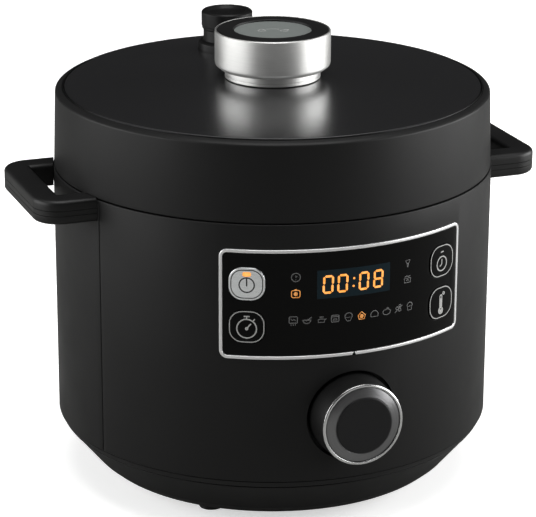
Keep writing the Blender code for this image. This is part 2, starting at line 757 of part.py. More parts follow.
def make_sensor():
    """Sprung thermostat cup that the pot pushes down, and its spring."""
    top = POT_FLOOR - TOUCH
    skirt = top - 9.5
    cup = turned("sensor_cup", [
        (0, top), (SENSOR_RADIUS - 1, top), (SENSOR_RADIUS, top - 1), (SENSOR_RADIUS, skirt),
        (SENSOR_RADIUS - 1.2, skirt), (SENSOR_RADIUS - 1.2, top - 2), (0, top - 2),
    ], "stainless_steel", MEDIUM)
    floor = OUTER_POT_FLOOR + OUTER_POT_WALL + TOUCH
    spring = coil("sensor_spring", SPRING_RADIUS, SPRING_WIRE, SPRING_TURNS, floor, top - 2 - TOUCH, "zinc_steel")
    return cup, spring


def make_power_board():
    """Mains board on the pan, with its transformer, relay and capacitor."""
    bottom = BASE_CLEARANCE + BODY_WALL + 4.5
    top = bottom + BOARD_THICKNESS
    board = block("power_board", (-52, -36, bottom), (52, 36, top), "circuit_board")
    join(
        board,
        block("transformer", (-44, -28, top - 0.5), (-16, 4, top + 17)),
        block("relay", (18, -28, top - 0.5), (38, -12, top + 14)),
        block("terminal_block", (10, 22, top - 0.5), (44, 32, top + 9)),
        rod("capacitor", 7, top - 0.5, top + 15, place=shifted(28, 6), segments=16),
    )
    for number, (x, y) in enumerate(((-46, -31), (46, -31), (-46, 31), (46, 31)), 1):
        join(board, rod(f"board_leg_{number}", 2, BASE_CLEARANCE + BODY_WALL + TOUCH, bottom + 0.5, place=shifted(x, y), segments=8))
    return board


def button_places():
    """(name, bearing, height) of the four buttons."""
    upper, lower = (PANEL_TOP - share * PANEL_HEIGHT for share in BUTTON_ROWS)
    return (
        ("power_button", -BUTTON_BEARING, upper),
        ("timer_button", -BUTTON_BEARING, lower),
        ("delay_button", BUTTON_BEARING, upper),
        ("temperature_button", BUTTON_BEARING, lower),
    )


def button_stem_end():
    return BODY_RADIUS + BUTTON_PROUD - BUTTON_DEPTH - BUTTON_STEM[1]


def make_control_board():
    """Board behind the panel, with one switch under each button."""
    half = BOARD_SIZE[0] / 2
    top = PANEL_TOP - 6
    front = facing(0)
    board = block(
        "control_board",
        (-half, top - BOARD_SIZE[1], BOARD_FRONT - BOARD_THICKNESS), (half, top, BOARD_FRONT),
        "circuit_board", front,
    )
    for name, bearing, height in button_places():
        middle = button_stem_end() * math.sin(math.radians(bearing))
        switch_top = button_stem_end() * math.cos(math.radians(bearing)) - BUTTON_TRAVEL - 1.5
        low, high = (middle - 3, height - 3, BOARD_FRONT - 0.5), (middle + 3, height + 3, switch_top)
        join(board, block(f"{name}_switch", low, high, place=front))
    return board


def make_display():
    """Display block behind the window, on its foot."""
    half, tall = DISPLAY_SIZE[0] / 2, DISPLAY_SIZE[1] / 2
    middle = PANEL_TOP - DISPLAY_DROP
    lens_inner = BODY_RADIUS + LENS_PROUD - LENS_THICKNESS
    face = math.sqrt(lens_inner ** 2 - half ** 2) - 0.8
    front = facing(0, middle)
    display = block("display_module", (-half, -tall, face - 9), (half, tall, face), "gloss_black", front)
    join(display, block("display_foot", (-half + 5, -tall + 3, BOARD_FRONT + TOUCH), (half - 5, tall - 3, face - 8), place=front))
    return display


# Control panel and dial --------------------------------------------------------------------


def make_panel():
    """Gloss fascia with four button holes, and the metal frame round it."""
    lens_size = (PANEL_WIDTH - 2 * FRAME_BAR - 2 * TOUCH, PANEL_HEIGHT - 2 * FRAME_BAR - 2 * TOUCH)
    window = (PANEL_WIDTH - 2 * FRAME_BAR, PANEL_HEIGHT - 2 * FRAME_BAR)
    lens_corner = PANEL_CORNER - FRAME_BAR
    lens_outer = BODY_RADIUS + LENS_PROUD
    lens = curved_panel(
        "panel_lens", lens_size, lens_corner, (lens_outer - LENS_THICKNESS, lens_outer), PANEL_MIDDLE, "gloss_black",
    )
    for name, bearing, height in button_places():
        hole = rounded_rectangle(BUTTON_SIZE[0] + 2 * SLIP, BUTTON_SIZE[1] + 2 * SLIP, BUTTON_CORNER + SLIP, 5)
        cut(lens, prism(f"{name}_hole", hole, BODY_RADIUS - 12, BODY_RADIUS + 12, place=facing(bearing, height)))
    frame_outer = BODY_RADIUS + FRAME_PROUD
    frame = curved_panel(
        "panel_frame", (PANEL_WIDTH, PANEL_HEIGHT), PANEL_CORNER,
        (frame_outer - FRAME_DEPTH, frame_outer), PANEL_MIDDLE, "brushed_aluminium",
    )
    cut(frame, curved_panel(
        "frame_window", window, lens_corner + TOUCH, (BODY_RADIUS - 12, BODY_RADIUS + 12), PANEL_MIDDLE,
    ))
    return lens, frame


def make_buttons():
    """Four push buttons, each with a stem to its switch."""
    stem_radius, stem_length = BUTTON_STEM
    face = BODY_RADIUS + BUTTON_PROUD
    back = face - BUTTON_DEPTH
    outline = rounded_rectangle(*BUTTON_SIZE, BUTTON_CORNER, 5)
    buttons = []
    for name, bearing, height in button_places():
        place = facing(bearing, height)
        finish = "brushed_aluminium" if name == "power_button" else "gloss_black"
        button = prism(name, outline, back, face, finish, place)
        join(button, rod(f"{name}_stem", stem_radius, back - stem_length, back + 1, place=place, segments=10))
        carrier = pivot(f"{name}_push", *on_circle(face, bearing), height)
        attach(carrier, button)
        buttons.append(button)
    return buttons


def make_dial():
    """Push-and-turn dial, its shaft and the encoder that holds the shaft."""
    axis = facing(0, DIAL_HEIGHT)
    shaft = ENCODER_SHAFT_RADIUS
    base, edge = DIAL_RADIUS + DIAL_FLARE, DIAL_FRONT
    inner = DIAL_RADIUS - DIAL_TRIM
    ledge = edge - 4.2
    skirt = turned("dial_skirt", [
        (shaft + SLIP, DIAL_REAR + 2.5), (shaft + 3.5, DIAL_REAR + 2.5), (shaft + 3.5, ledge - 2.7),
        (inner - 0.3, ledge - 2.7), (base - 2.3, DIAL_REAR), (base, DIAL_REAR), (base - 0.4, BODY_RADIUS),
        (DIAL_RADIUS + 0.1, edge - 1.7), (inner, edge - 1.7), (inner, ledge), (shaft + SLIP, ledge),
    ], "matte_black_abs", MEDIUM, axis)
    trim = turned("dial_trim", [
        (inner, edge - 1.7 + TOUCH), (DIAL_RADIUS, edge - 1.7 + TOUCH), (DIAL_RADIUS, edge - 0.4),
        (DIAL_RADIUS - 0.5, edge), (inner + 0.4, edge), (inner, edge - 0.4),
    ], "brushed_aluminium", MEDIUM, axis)
    disc, rim = DIAL_DISC_RADIUS, inner - TOUCH
    face = turned("dial_face", [
        (0, ledge + TOUCH), (rim, ledge + TOUCH), (rim, edge - 0.5), (disc + 0.1, DIAL_TIP - 0.7),
        (disc, DIAL_TIP - 0.4), (disc - 0.5, DIAL_TIP), (0, DIAL_TIP),
    ], "grey_disc", MEDIUM, axis)
    shaft_rear = BOARD_FRONT + 1.0 + 2 * DIAL_TRAVEL
    rod_solid = turned("encoder_shaft", [
        (0, shaft_rear), (shaft, shaft_rear), (shaft, ledge - 2), (0, ledge - 2),
    ], "zinc_steel", SMALL, axis)
    half = ENCODER_SIZE / 2
    encoder = block(
        "encoder_body", (-half, -half, BOARD_FRONT + TOUCH), (half, half, BOARD_FRONT + 11.5), "zinc_steel", axis,
    )
    cut(encoder, rod("encoder_bore", shaft + SLIP, BOARD_FRONT + 1.3, BOARD_FRONT + 14, place=axis))
    push = pivot("dial_push", 0, -BODY_RADIUS, DIAL_HEIGHT)
    turn = pivot("dial_turn", 0, -BODY_RADIUS, DIAL_HEIGHT, push)
    attach(push, rod_solid)
    attach(turn, skirt, trim, face)
    return encoder


# Locking flange and lid --------------------------------------------------------------------


def toothed_gaps(name, count, angle, inner, outer, low, high, offset):
    """Sector prisms, evenly spaced, that cut gaps between teeth."""
    outline = [(inner, low), (outer, low), (outer, high), (inner, high)]
    gaps = []
    for number in range(count):
        middle = offset + 360 * number / count
        gaps.append(swept(f"{name}_{number}", outline, middle - angle / 2, middle + angle / 2, 3))
    return gaps


def make_locking_flange():
    """Steel ring on the outer pot, with inward teeth over the lock ring."""
    bore = POT_RADIUS + FLANGE_BORE_INSET
    bottom = OUTER_POT_TOP + TOUCH
    tooth_under = FLANGE_TOP - FLANGE_TOOTH
    flange = turned("locking_flange", [
        (FLANGE_INNER, bottom), (FLANGE_OUTER, bottom), (FLANGE_OUTER, FLANGE_TOP - FLANGE_WALL),
        (FLANGE_OUTER + FLANGE_LIP, FLANGE_TOP - FLANGE_WALL), (FLANGE_OUTER + FLANGE_LIP, FLANGE_TOP),
        (bore, FLANGE_TOP), (bore, tooth_under), (FLANGE_INNER, tooth_under),
    ], "stainless_steel")
    gaps = toothed_gaps(
        "flange_gap", TOOTH_COUNT, FLANGE_GAP_ANGLE, bore - 2, FLANGE_INNER - 0.4, tooth_under - 1, FLANGE_TOP + 1, 0,
    )
    cut(flange, *gaps)
    return flange


def make_lock_ring():
    """Bayonet ring under the lid: a spoked plate with a wall and outward teeth."""
    top = LOCK_PLATE_BOTTOM + LOCK_PLATE
    tooth_outer = LOCK_OUTER + LOCK_TOOTH_REACH
    tooth_top = LOCK_BOTTOM + LOCK_TOOTH_HEIGHT
    bore = SHAFT_RADIUS + TOUCH
    ring = turned("lock_ring", [
        (bore, LOCK_PLATE_BOTTOM), (LOCK_INNER, LOCK_PLATE_BOTTOM), (LOCK_INNER, LOCK_BOTTOM),
        (tooth_outer, LOCK_BOTTOM), (tooth_outer, tooth_top), (LOCK_OUTER, tooth_top), (LOCK_OUTER, top), (bore, top),
    ], "stainless_steel")
    gap_angle = 360 / TOOTH_COUNT - LOCK_TOOTH_ANGLE
    gaps = toothed_gaps(
        "lock_gap", TOOTH_COUNT, gap_angle, LOCK_OUTER + 0.2, tooth_outer + 2, LOCK_BOTTOM - 1, tooth_top + 1,
        180 / TOOTH_COUNT,
    )
    cut(ring, *gaps)
    outer = LOCK_INNER - 5
    half = SPOKE_WIDTH / 2
    window = [on_window_edge(SPOKE_HUB, half, False), on_window_edge(outer, half, False)]
    start = math.degrees(math.asin(half / outer))
    window += arc((0, 0), outer, start, 90 - start, 6)[1:-1]
    window += [on_window_edge(outer, half, True), on_window_edge(SPOKE_HUB, half, True)]
    for number in range(4):
        turn = Matrix.Rotation(math.radians(45 + 90 * number), 4, "Z")
        cut(ring, prism(f"spoke_window_{number}", window, LOCK_PLATE_BOTTOM - 1, top + 1, place=turn))
    return ring


def on_window_edge(radius, half, mirrored):
    """Corner of a spoke window, at a radius and half a spoke from the spoke's middle line."""
    along = math.sqrt(radius ** 2 - half ** 2)
    return (half, along) if mirrored else (along, half)


def make_lid_skirt():
    """Outer wall of the lid, with the shoulder and the shelf for the plate."""
    top_radius = LID_RADIUS - LID_DRAFT
    shoulder_in, shoulder_up = LID_SHOULDER
    step = top_radius - shoulder_in
    shelf_top = LID_SHOULDER_HEIGHT - 0.8
    shelf_under = shelf_top - 2.5
    inner_bottom, inner_top = LID_RADIUS - LID_WALL, top_radius - LID_WALL
    return turned("lid_skirt", [
        (LID_RADIUS - 0.4, LID_BOTTOM), (LID_RADIUS, LID_BOTTOM + 0.4), (top_radius, LID_SHOULDER_HEIGHT - 0.8),
        (top_radius - 0.6, LID_SHOULDER_HEIGHT), (step, LID_SHOULDER_HEIGHT + shoulder_up), (step, shelf_top),
        (step - LID_SHELF, shelf_top), (step - LID_SHELF, shelf_under), (inner_top, shelf_under),
        (inner_bottom, LID_BOTTOM),
    ], "matte_black_abs")


def make_lid_trim():
    """Thin bright ring between the shoulder and the plate."""
    outer = PLATE_OUTER + TOUCH + TRIM_WIDTH
    bottom = LID_SHOULDER_HEIGHT - 0.8 + TOUCH
    return turned("lid_trim", [
        (outer - TRIM_WIDTH, bottom), (outer, bottom), (outer, PLATE_EDGE_TOP + 0.1), (outer - TRIM_WIDTH, PLATE_EDGE_TOP + 0.2),
    ], "brushed_aluminium")


def make_lid_top_plate():
    """Gently domed plate, open at the knob and at the valve."""
    upper = [(radius, dome_height(radius)) for radius in (PLATE_OUTER, PLATE_OUTER * 0.75, PLATE_OUTER * 0.5)]
    bore = NECK_SPIGOT + SLIP
    upper.append((bore, dome_height(bore)))
    lower = [(radius, height - PLATE_THICKNESS) for radius, height in reversed(upper)]
    plate = turned("lid_top_plate", upper + lower, "satin_black_plate")
    reach = (PLATE_EDGE_TOP - 10, PLATE_EDGE_TOP + 10)
    cut(plate, rod("valve_hole", VALVE_COLLAR_RADIUS + SLIP, *reach, place=shifted(0, VALVE_Y), segments=MEDIUM))
    return plate


def make_lid_liner():
    """Underside of the lid: a hat over the lock ring and a brim to the skirt."""
    brim = BODY_TOP + LID_SEAM + 2.1
    crown = LOCK_PLATE_BOTTOM + LOCK_PLATE + 3
    outer = LID_RADIUS - LID_WALL - 0.8
    liner = turned("lid_liner", [
        (LINER_INNER, brim), (outer, brim), (outer, brim + LINER_WALL), (LINER_INNER + LINER_WALL, brim + LINER_WALL),
        (LINER_INNER + LINER_WALL, crown + LINER_WALL), (NUT_RADIUS, crown + LINER_WALL), (NUT_RADIUS, crown),
        (LINER_INNER, crown),
    ], "matte_black_abs")
    cut(liner, rod("pipe_hole", PIPE_RADIUS + SLIP, crown - 2, crown + 5, place=shifted(0, VALVE_Y)))
    return liner


def make_inner_lid():
    """Pressure plate, with the seal round it and holes for the shaft, the pipe and the float."""
    top = INNER_LID_BOTTOM + INNER_LID_THICKNESS
    bore = SHAFT_RADIUS + SLIP
    plate = turned("inner_lid", [
        (bore, INNER_LID_BOTTOM), (INNER_LID_RADIUS, INNER_LID_BOTTOM), (INNER_LID_RADIUS, top), (bore, top),
    ], "stainless_steel")
    reach = (INNER_LID_BOTTOM - 2, top + 2)
    cut(plate, rod("pipe_seat", PIPE_RADIUS + SLIP, *reach, place=shifted(0, VALVE_Y)))
    cut(plate, rod("float_hole", FLOAT_RADIUS + SLIP, *reach, place=shifted(FLOAT_X, 0), segments=12))
    ledge = INNER_LID_BOTTOM - TOUCH
    edge = INNER_LID_RADIUS + SLIP
    gasket = turned("gasket", [
        (INNER_LID_RADIUS - 4, GASKET_BOTTOM), (GASKET_RADIUS, GASKET_BOTTOM),
        (GASKET_RADIUS, LOCK_BOTTOM - TOUCH), (edge + 1.2, LOCK_BOTTOM - TOUCH),
        (edge + 1.2, ledge + GASKET_LIP), (edge, ledge + GASKET_LIP), (edge, ledge), (INNER_LID_RADIUS - 4, ledge),
    ], "silicone")
    return plate, gasket


def make_steam_path():
    """Pipe from the pressure plate to the valve seat, with a shield at its lower end."""
    place = shifted(0, VALVE_Y)
    flange_top = INNER_LID_BOTTOM - TOUCH
    seat = dome_height(VALVE_Y) - 1.4
    pipe = turned("steam_pipe", [
        (PIPE_BORE, flange_top - 3), (PIPE_RADIUS + 3, flange_top - 3), (PIPE_RADIUS + 3, flange_top),
        (PIPE_RADIUS, flange_top), (PIPE_RADIUS, seat), (PIPE_BORE, seat),
    ], "stainless_steel", SMALL, place)
    top = flange_top - 3 - TOUCH
    shield = turned("steam_shield", [
        (PIPE_BORE, top - 1.2), (SHIELD_RADIUS - 1.2, top - 1.2), (SHIELD_RADIUS - 1.2, top - 10),
        (SHIELD_RADIUS, top - 10), (SHIELD_RADIUS, top), (PIPE_BORE, top),
    ], "stainless_steel", SMALL, place)
    return pipe, shield


def make_valve():
    """Collar fixed in the lid, the weight in it and the cap on the weight."""
    place = shifted(0, VALVE_Y)
    surface = dome_height(VALVE_Y)
    collar_top = surface + VALVE_COLLAR_RISE
    neck, neck_height = VALVE_NECK
    neck_top = collar_top + neck_height
    bowl = neck - 3.3
    bowl_floor = surface + 2.1
    bore = PIPE_RADIUS + SLIP
    collar = turned("valve_collar", [
        (bore, surface - 7.4), (VALVE_COLLAR_RADIUS, surface - 7.4), (VALVE_COLLAR_RADIUS, collar_top - 0.8),
        (VALVE_COLLAR_RADIUS - 0.8, collar_top), (neck, collar_top), (neck, neck_top), (bowl, neck_top),
        (bowl, bowl_floor), (bore, bowl_floor),
    ], "matte_black_abs", MEDIUM, place)
    seat = surface - 1.4 + TOUCH
    cap_bottom = neck_top + 0.5
    cap_radius, cap_height = VALVE_CAP
    cap_top = cap_bottom + cap_height
    roof = cap_top - 3.2
    weight = turned("valve_weight", [
        (0, seat - 2), (PIPE_BORE - 1.2, seat - 2), (PIPE_BORE - 0.6, seat), (PIPE_RADIUS, seat),
        (PIPE_RADIUS, bowl_floor + SLIP), (bowl - 1.5, bowl_floor + SLIP), (bowl - 1.5, neck_top - 1),
        (8, neck_top), (8, roof - TOUCH), (0, roof - TOUCH),
    ], "stainless_steel", SMALL, place)
    cap = turned("valve_cap", [
        (0, cap_top - 0.8), (cap_radius - 5.1, cap_top - 0.8), (cap_radius - 4.8, cap_top), (cap_radius - 1, cap_top),
        (cap_radius, cap_top - 1), (cap_radius, cap_bottom), (cap_radius - 2.2, cap_bottom),
        (cap_radius - 2.2, roof), (0, roof),
    ], "matte_black_abs", MEDIUM, place)
    return collar, weight, cap, cap_bottom


def make_float():
    """Float pin that steam lifts, held by a small seal above the pressure plate."""
    place = shifted(FLOAT_X, 0)
    head_top = INNER_LID_BOTTOM - FLOAT_TRAVEL - SLIP
    tip = LOCK_PLATE_BOTTOM + LOCK_PLATE + 3 - FLOAT_TRAVEL - 0.5
    pin = turned("float_pin", [
        (0, head_top - 2), (5, head_top - 2), (5, head_top), (FLOAT_RADIUS, head_top), (FLOAT_RADIUS, tip), (0, tip),
    ], "zinc_steel", SMALL, place)
    base = INNER_LID_BOTTOM + INNER_LID_THICKNESS + TOUCH
    seal = turned("float_seal", [
        (FLOAT_RADIUS + TOUCH, base), (5, base), (4.2, base + 2), (FLOAT_RADIUS + TOUCH, base + 2),
    ], "silicone", SMALL, place)
    return pin, seal


def make_knob():
    """Knob with its black top and disc, the neck under it, and the shaft and nut on its axis."""
    plate_top = dome_height(0)
    neck_bottom = plate_top + TOUCH
    neck_top = neck_bottom + NECK_HEIGHT
    bore = SHAFT_HUB_RADIUS + SLIP
    neck = turned("knob_neck", [
        (bore, neck_bottom - 11), (NECK_SPIGOT, neck_bottom - 11), (NECK_SPIGOT, neck_bottom),
        (NECK_RADIUS, neck_bottom), (NECK_RADIUS, neck_top), (bore, neck_top),
    ], "brushed_aluminium", MEDIUM)
    bottom = neck_top + KNOB_GAP
    top = bottom + KNOB_HEIGHT
    outer, inner = KNOB_RADIUS, KNOB_RADIUS - KNOB_WALL
    seat = top - 3.3
    ring = turned("knob_ring", [
        (inner - 6, bottom), (outer - 3.6, bottom), (outer - 1.1, bottom + 1.1), (outer, bottom + 3.6),
        (outer, top - 0.7), (outer - 0.5, top), (outer - 1.2, top), (outer - 1.2, seat), (inner, seat),
        (inner, bottom + 2.5), (inner - 6, bottom + 2.5),
    ], "brushed_aluminium", MEDIUM)
    rim = outer - 1.2 - TOUCH
    disc = rim - KNOB_TOP_WIDTH
    pocket = top + 0.2 - 2.0
    cap = turned("knob_top", [
        (0, seat - 4.5), (inner - TOUCH, seat - 4.5), (inner - TOUCH, seat + TOUCH), (rim, seat + TOUCH),
        (rim, top - 0.3), (rim - 0.5, top + 0.2), (disc, top + 0.2), (disc, pocket), (0, pocket),
    ], "matte_black_abs", MEDIUM)
    badge_top = top + 0.2 - KNOB_RECESS
    badge = turned("knob_badge", [
        (0, pocket + TOUCH), (disc - TOUCH, pocket + TOUCH), (disc - TOUCH, badge_top), (0, badge_top),
    ], "grey_disc", MEDIUM)
    hub_top = seat - 4.5 - TOUCH
    step = LOCK_PLATE_BOTTOM + LOCK_PLATE + TOUCH
    shaft_end = INNER_LID_BOTTOM - NUT_HEIGHT
    shaft = turned("knob_shaft", [
        (0, shaft_end), (SHAFT_RADIUS, shaft_end), (SHAFT_RADIUS, step), (SHAFT_HUB_RADIUS, step),
        (SHAFT_HUB_RADIUS, hub_top - 3), (inner - 8, hub_top - 3), (inner - 8, hub_top), (0, hub_top),
    ], "zinc_steel", SMALL)
    nut_top = INNER_LID_BOTTOM - TOUCH
    nut_bore = SHAFT_RADIUS + SLIP
    nut = turned("lid_nut", [
        (nut_bore, nut_top - NUT_HEIGHT), (NUT_RADIUS - 1, nut_top - NUT_HEIGHT), (NUT_RADIUS, nut_top - NUT_HEIGHT + 1),
        (NUT_RADIUS, nut_top - 1), (NUT_RADIUS - 1, nut_top), (nut_bore, nut_top),
    ], "stainless_steel", 12)
    return neck, [ring, cap, badge, shaft, nut]


def make_hinge():
    """Bracket, pin and spring on the body, and the knuckle arm on the lid."""
    axis = across(HINGE_Y, HINGE_Z)
    half, ear = HINGE_HALF_WIDTH, HINGE_EAR
    drop = HINGE_RADIUS + 2.4
    foot_high, foot_low = -drop, -drop - 9
    wall = -HINGE_REACH - 7
    ear_outline = [(wall, foot_low), (-HINGE_REACH + 3, foot_low), (HINGE_RADIUS, -HINGE_RADIUS * 0.6)]
    ear_outline += arc((0, 0), HINGE_RADIUS, -20, 190, 12) + [(wall, foot_high)]
    bracket = prism("hinge_bracket", ear_outline, -half, -half + ear, "zinc_steel", axis)
    other = prism("hinge_ear", ear_outline, half - ear, half, place=axis)
    bridge = prism("hinge_bridge", rectangle((wall, foot_low), (-HINGE_REACH + 2.6, foot_high)), -half + 1, half - 1, place=axis)
    join(bracket, other, bridge)
    cut(bracket, rod("bracket_root", BODY_RADIUS + TOUCH, 0, BODY_TOP + LID_SEAM + 60, segments=LARGE))
    bore = HINGE_PIN_RADIUS + SLIP
    cut(bracket, rod("bracket_bore", bore, -half - 2, half + 2, place=axis, segments=16))
    pin = rod("hinge_pin", HINGE_PIN_RADIUS, -half - 1, half + 1, "stainless_steel", axis, 16)
    coil_radius, wire, turns = HINGE_SPRING
    spring_low = 6.0
    spring_high = half - ear - 1
    spring = coil("hinge_spring", coil_radius, wire, turns, spring_low, spring_high, "zinc_steel", axis)
    reach = half - ear - 0.8
    front = -HINGE_REACH + LID_INSET + TOUCH
    knuckle = rod("lid_hinge_arm", HINGE_RADIUS - 0.3, -reach, spring_low - 1, "zinc_steel", axis, 24)
    web = prism("arm_web", rectangle((front, 1.2), (0, 14)), -reach, spring_low - 1, place=axis)
    strap = prism("arm_strap", rectangle((front, HINGE_RADIUS + 1.8), (0, 14)), -reach, reach, place=axis)
    join(knuckle, web, strap)
    cut(knuckle, rod("arm_bore", bore, -half, half, place=axis, segments=16))
    return bracket, pin, spring, knuckle


# Rear fittings -----------------------------------------------------------------------------


def make_condensation_cup():
    """Clear cup that hangs by two flanges on the rails and pulls off to the rear."""
    half, height = CUP_SIZE[0] / 2, CUP_SIZE[1]
    width, thick = CUP_FLANGE
    bottom = CUP_TOP - height
    cup = block("condensation_cup", (-half, CUP_INNER_Y, bottom), (half, DIAL_TIP, CUP_TOP), "clear_plastic")
    flange = block("cup_flange", (-half - width, CUP_INNER_Y, CUP_TOP - thick), (half + width, DIAL_TIP - 3, CUP_TOP))
    join(cup, flange)
    inside = half - CUP_WALL
    cut(cup, block(
        "cup_hollow", (-inside, CUP_INNER_Y + CUP_WALL, bottom + CUP_WALL), (inside, DIAL_TIP - CUP_WALL, CUP_TOP + 1),
    ))
    return cup


def make_mains_inlet():
    """Three-pin inlet with a chamfered socket, set through the rear wall."""
    place = facing(180, INLET_HEIGHT)
    width, height = INLET_SOCKET
    face = BODY_RADIUS + 2.7
    flange = rounded_rectangle(*INLET_FLANGE, 3, 3)
    inlet = prism("mains_inlet", flange, BODY_RADIUS + TOUCH, face, "matte_black_abs", place)
    back = face - INLET_DEPTH - INLET_WALL
    body_half = (width / 2 + INLET_WALL, height / 2 + INLET_WALL)
    body = block("inlet_body", (-body_half[0], -body_half[1], back), (*body_half, BODY_RADIUS + 1), place=place)
    join(inlet, body)
    half, tall, chamfer = width / 2, height / 2, 4.5
    socket = [
        (-half, -tall), (half, -tall), (half, tall - chamfer), (half - chamfer, tall),
        (-half + chamfer, tall), (-half, tall - chamfer),
    ]
    cut(inlet, prism("inlet_socket", socket, face - INLET_DEPTH, face + 1, place=place))
    thick, tall_pin, length = INLET_PIN
    for number, (x, y) in enumerate(((-7, -2), (0, 2), (7, -2)), 1):
        pin_low = (x - thick / 2, y - tall_pin / 2, face - INLET_DEPTH - 1)
        pin_high = (x + thick / 2, y + tall_pin / 2, face - INLET_DEPTH + length)
        join(inlet, block(f"inlet_pin_{number}", pin_low, pin_high, place=place))
    return inlet


# Assembly ----------------------------------------------------------------------------------


def main():
    for old in list(bpy.data.objects):
        bpy.data.objects.remove(old, do_unlink=True)

    body = pivot("body", 0, 0, 0)
    shells = [make_base_pan(), make_front_shell(), make_rear_shell(), make_top_collar()]
    attach(body, *shells, *make_handles(), *make_feet(), *make_base_screws())
    attach(body, make_outer_pot(), make_inner_pot(), make_heating_plate(), make_locking_flange())
    attach(body, make_power_board(), make_control_board(), make_display(), make_mains_inlet())
    attach(body, *make_panel(), make_dial())
    make_buttons()

    sensor_cup, sensor_spring = make_sensor()
    attach(body, sensor_spring)
    attach(pivot("sensor_push", 0, 0, POT_FLOOR - TOUCH), sensor_cup)
    attach(pivot("cup_slide", 0, DIAL_TIP, CUP_TOP), make_condensation_cup())

    bracket, pin, spring, arm = make_hinge()
    attach(body, bracket, pin, spring)
    lid = pivot("lid_hinge", 0, HINGE_Y, HINGE_Z)
    collar, weight, cap, cap_bottom = make_valve()
    float_pin, float_seal = make_float()
    neck, knob = make_knob()
    attach(lid, arm, make_lid_skirt(), make_lid_trim(), make_lid_top_plate(), make_lid_liner())
    attach(lid, *make_inner_lid(), *make_steam_path(), collar, neck)
    attach(pivot("knob_turn", 0, 0, dome_height(0), lid), *knob, make_lock_ring())
    lift = pivot("valve_lift", 0, VALVE_Y, cap_bottom, lid)
    attach(lift, weight)
    attach(pivot("valve_turn", 0, VALVE_Y, cap_bottom, lift), cap)
    attach(pivot("float_rise", FLOAT_X, 0, INNER_LID_BOTTOM, lid), float_pin, float_seal)


main()
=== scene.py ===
"""Electric pressure cooker, dressed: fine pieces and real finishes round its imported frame.

Lengths are millimetres while a piece is being shaped and metres once it is settled. A bearing
is measured round the pot axis in degrees, 0 at the front (-Y) and positive towards +X.
"""

import sys

import json
import logging
import math
from collections.abc import Iterable, Sequence
from dataclasses import dataclass
from enum import Enum

import bmesh
import bpy
from mathutils import Matrix, Vector

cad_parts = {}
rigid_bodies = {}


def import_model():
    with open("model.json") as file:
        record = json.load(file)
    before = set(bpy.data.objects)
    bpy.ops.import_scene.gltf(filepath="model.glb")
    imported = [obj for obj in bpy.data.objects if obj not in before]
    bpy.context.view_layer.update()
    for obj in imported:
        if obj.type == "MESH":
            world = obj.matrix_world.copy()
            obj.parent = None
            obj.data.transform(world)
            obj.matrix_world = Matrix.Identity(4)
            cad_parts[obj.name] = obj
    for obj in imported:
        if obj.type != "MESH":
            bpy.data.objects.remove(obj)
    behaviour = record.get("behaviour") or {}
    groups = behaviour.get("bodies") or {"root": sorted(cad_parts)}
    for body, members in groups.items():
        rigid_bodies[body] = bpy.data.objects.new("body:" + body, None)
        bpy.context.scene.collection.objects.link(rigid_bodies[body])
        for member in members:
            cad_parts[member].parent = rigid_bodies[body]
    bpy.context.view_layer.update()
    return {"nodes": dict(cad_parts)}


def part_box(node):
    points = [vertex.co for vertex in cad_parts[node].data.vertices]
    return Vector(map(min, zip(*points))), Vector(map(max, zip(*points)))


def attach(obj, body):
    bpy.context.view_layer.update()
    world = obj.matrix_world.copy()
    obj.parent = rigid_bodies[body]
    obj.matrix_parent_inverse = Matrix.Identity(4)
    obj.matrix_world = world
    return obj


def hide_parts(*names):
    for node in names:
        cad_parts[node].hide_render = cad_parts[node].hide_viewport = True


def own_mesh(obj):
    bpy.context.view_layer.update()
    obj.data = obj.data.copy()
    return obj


for leftover in list(bpy.data.objects):
    bpy.data.objects.remove(leftover)

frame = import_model()

log = logging.getLogger("cooker")

MM = 0.001
FINE = 192  # facets round the shells
NEAT = 128  # facets round the knob and the dial
PLAIN = 48  # facets round shafts and small caps

Point = Sequence[float]


# Reading the frame ---------------------------------------------------------------------------


def corners(node: str) -> tuple[Vector, Vector]:
    """Give a node's lowest and highest corners.

    Args:
        node: name of a node of the frame.

    Returns:
        The two corners, in millimetres.
    """
    low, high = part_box(node)
    return low / MM, high / MM


def heights(node: str) -> tuple[float, float]:
    """Give the lowest and highest point of a node, in millimetres above the floor."""
    low, high = corners(node)
    return low.z, high.z


BODY_RADIUS = -corners("front_shell")[0].y
BODY_TOP = heights("front_shell")[1]


def facing(bearing: float, height: float = 0.0) -> Matrix:
    """Place whose Z axis points out of the body at a bearing, X to its side and Y up.

    Args:
        bearing: degrees round the pot axis.
        height: millimetres above the floor.

    Returns:
        The place as a matrix.
    """
    angle = math.radians(bearing)
    columns = (
        (math.cos(angle), math.sin(angle), 0),
        (0, 0, 1),
        (math.sin(angle), -math.cos(angle), 0),
    )
    turn = Matrix(columns).transposed().to_4x4()
    return Matrix.Translation((0, 0, height)) @ turn


def across(y: float, z: float) -> Matrix:
    """Place whose Z axis points along +X, its X axis along +Y and its Y axis up."""
    turn = Matrix(((0, 0, 1, 0), (1, 0, 0, 0), (0, 1, 0, 0), (0, 0, 0, 1)))
    return Matrix.Translation((0, y, z)) @ turn


def shifted(x: float, y: float, z: float = 0.0) -> Matrix:
    """Place moved from the origin and not turned."""
    return Matrix.Translation((x, y, z))


def turned_round(count: int) -> list[Matrix]:
    """Turns about Z, evenly spaced, the first of them none."""
    return [Matrix.Rotation(math.tau * step / count, 4, "Z") for step in range(count)]


def on_circle(radius: float, bearing: float) -> tuple[float, float]:
    """Point (x, y) on a circle round the pot axis."""
    angle = math.radians(bearing)
    return radius * math.sin(angle), -radius * math.cos(angle)


# Outlines ------------------------------------------------------------------------------------


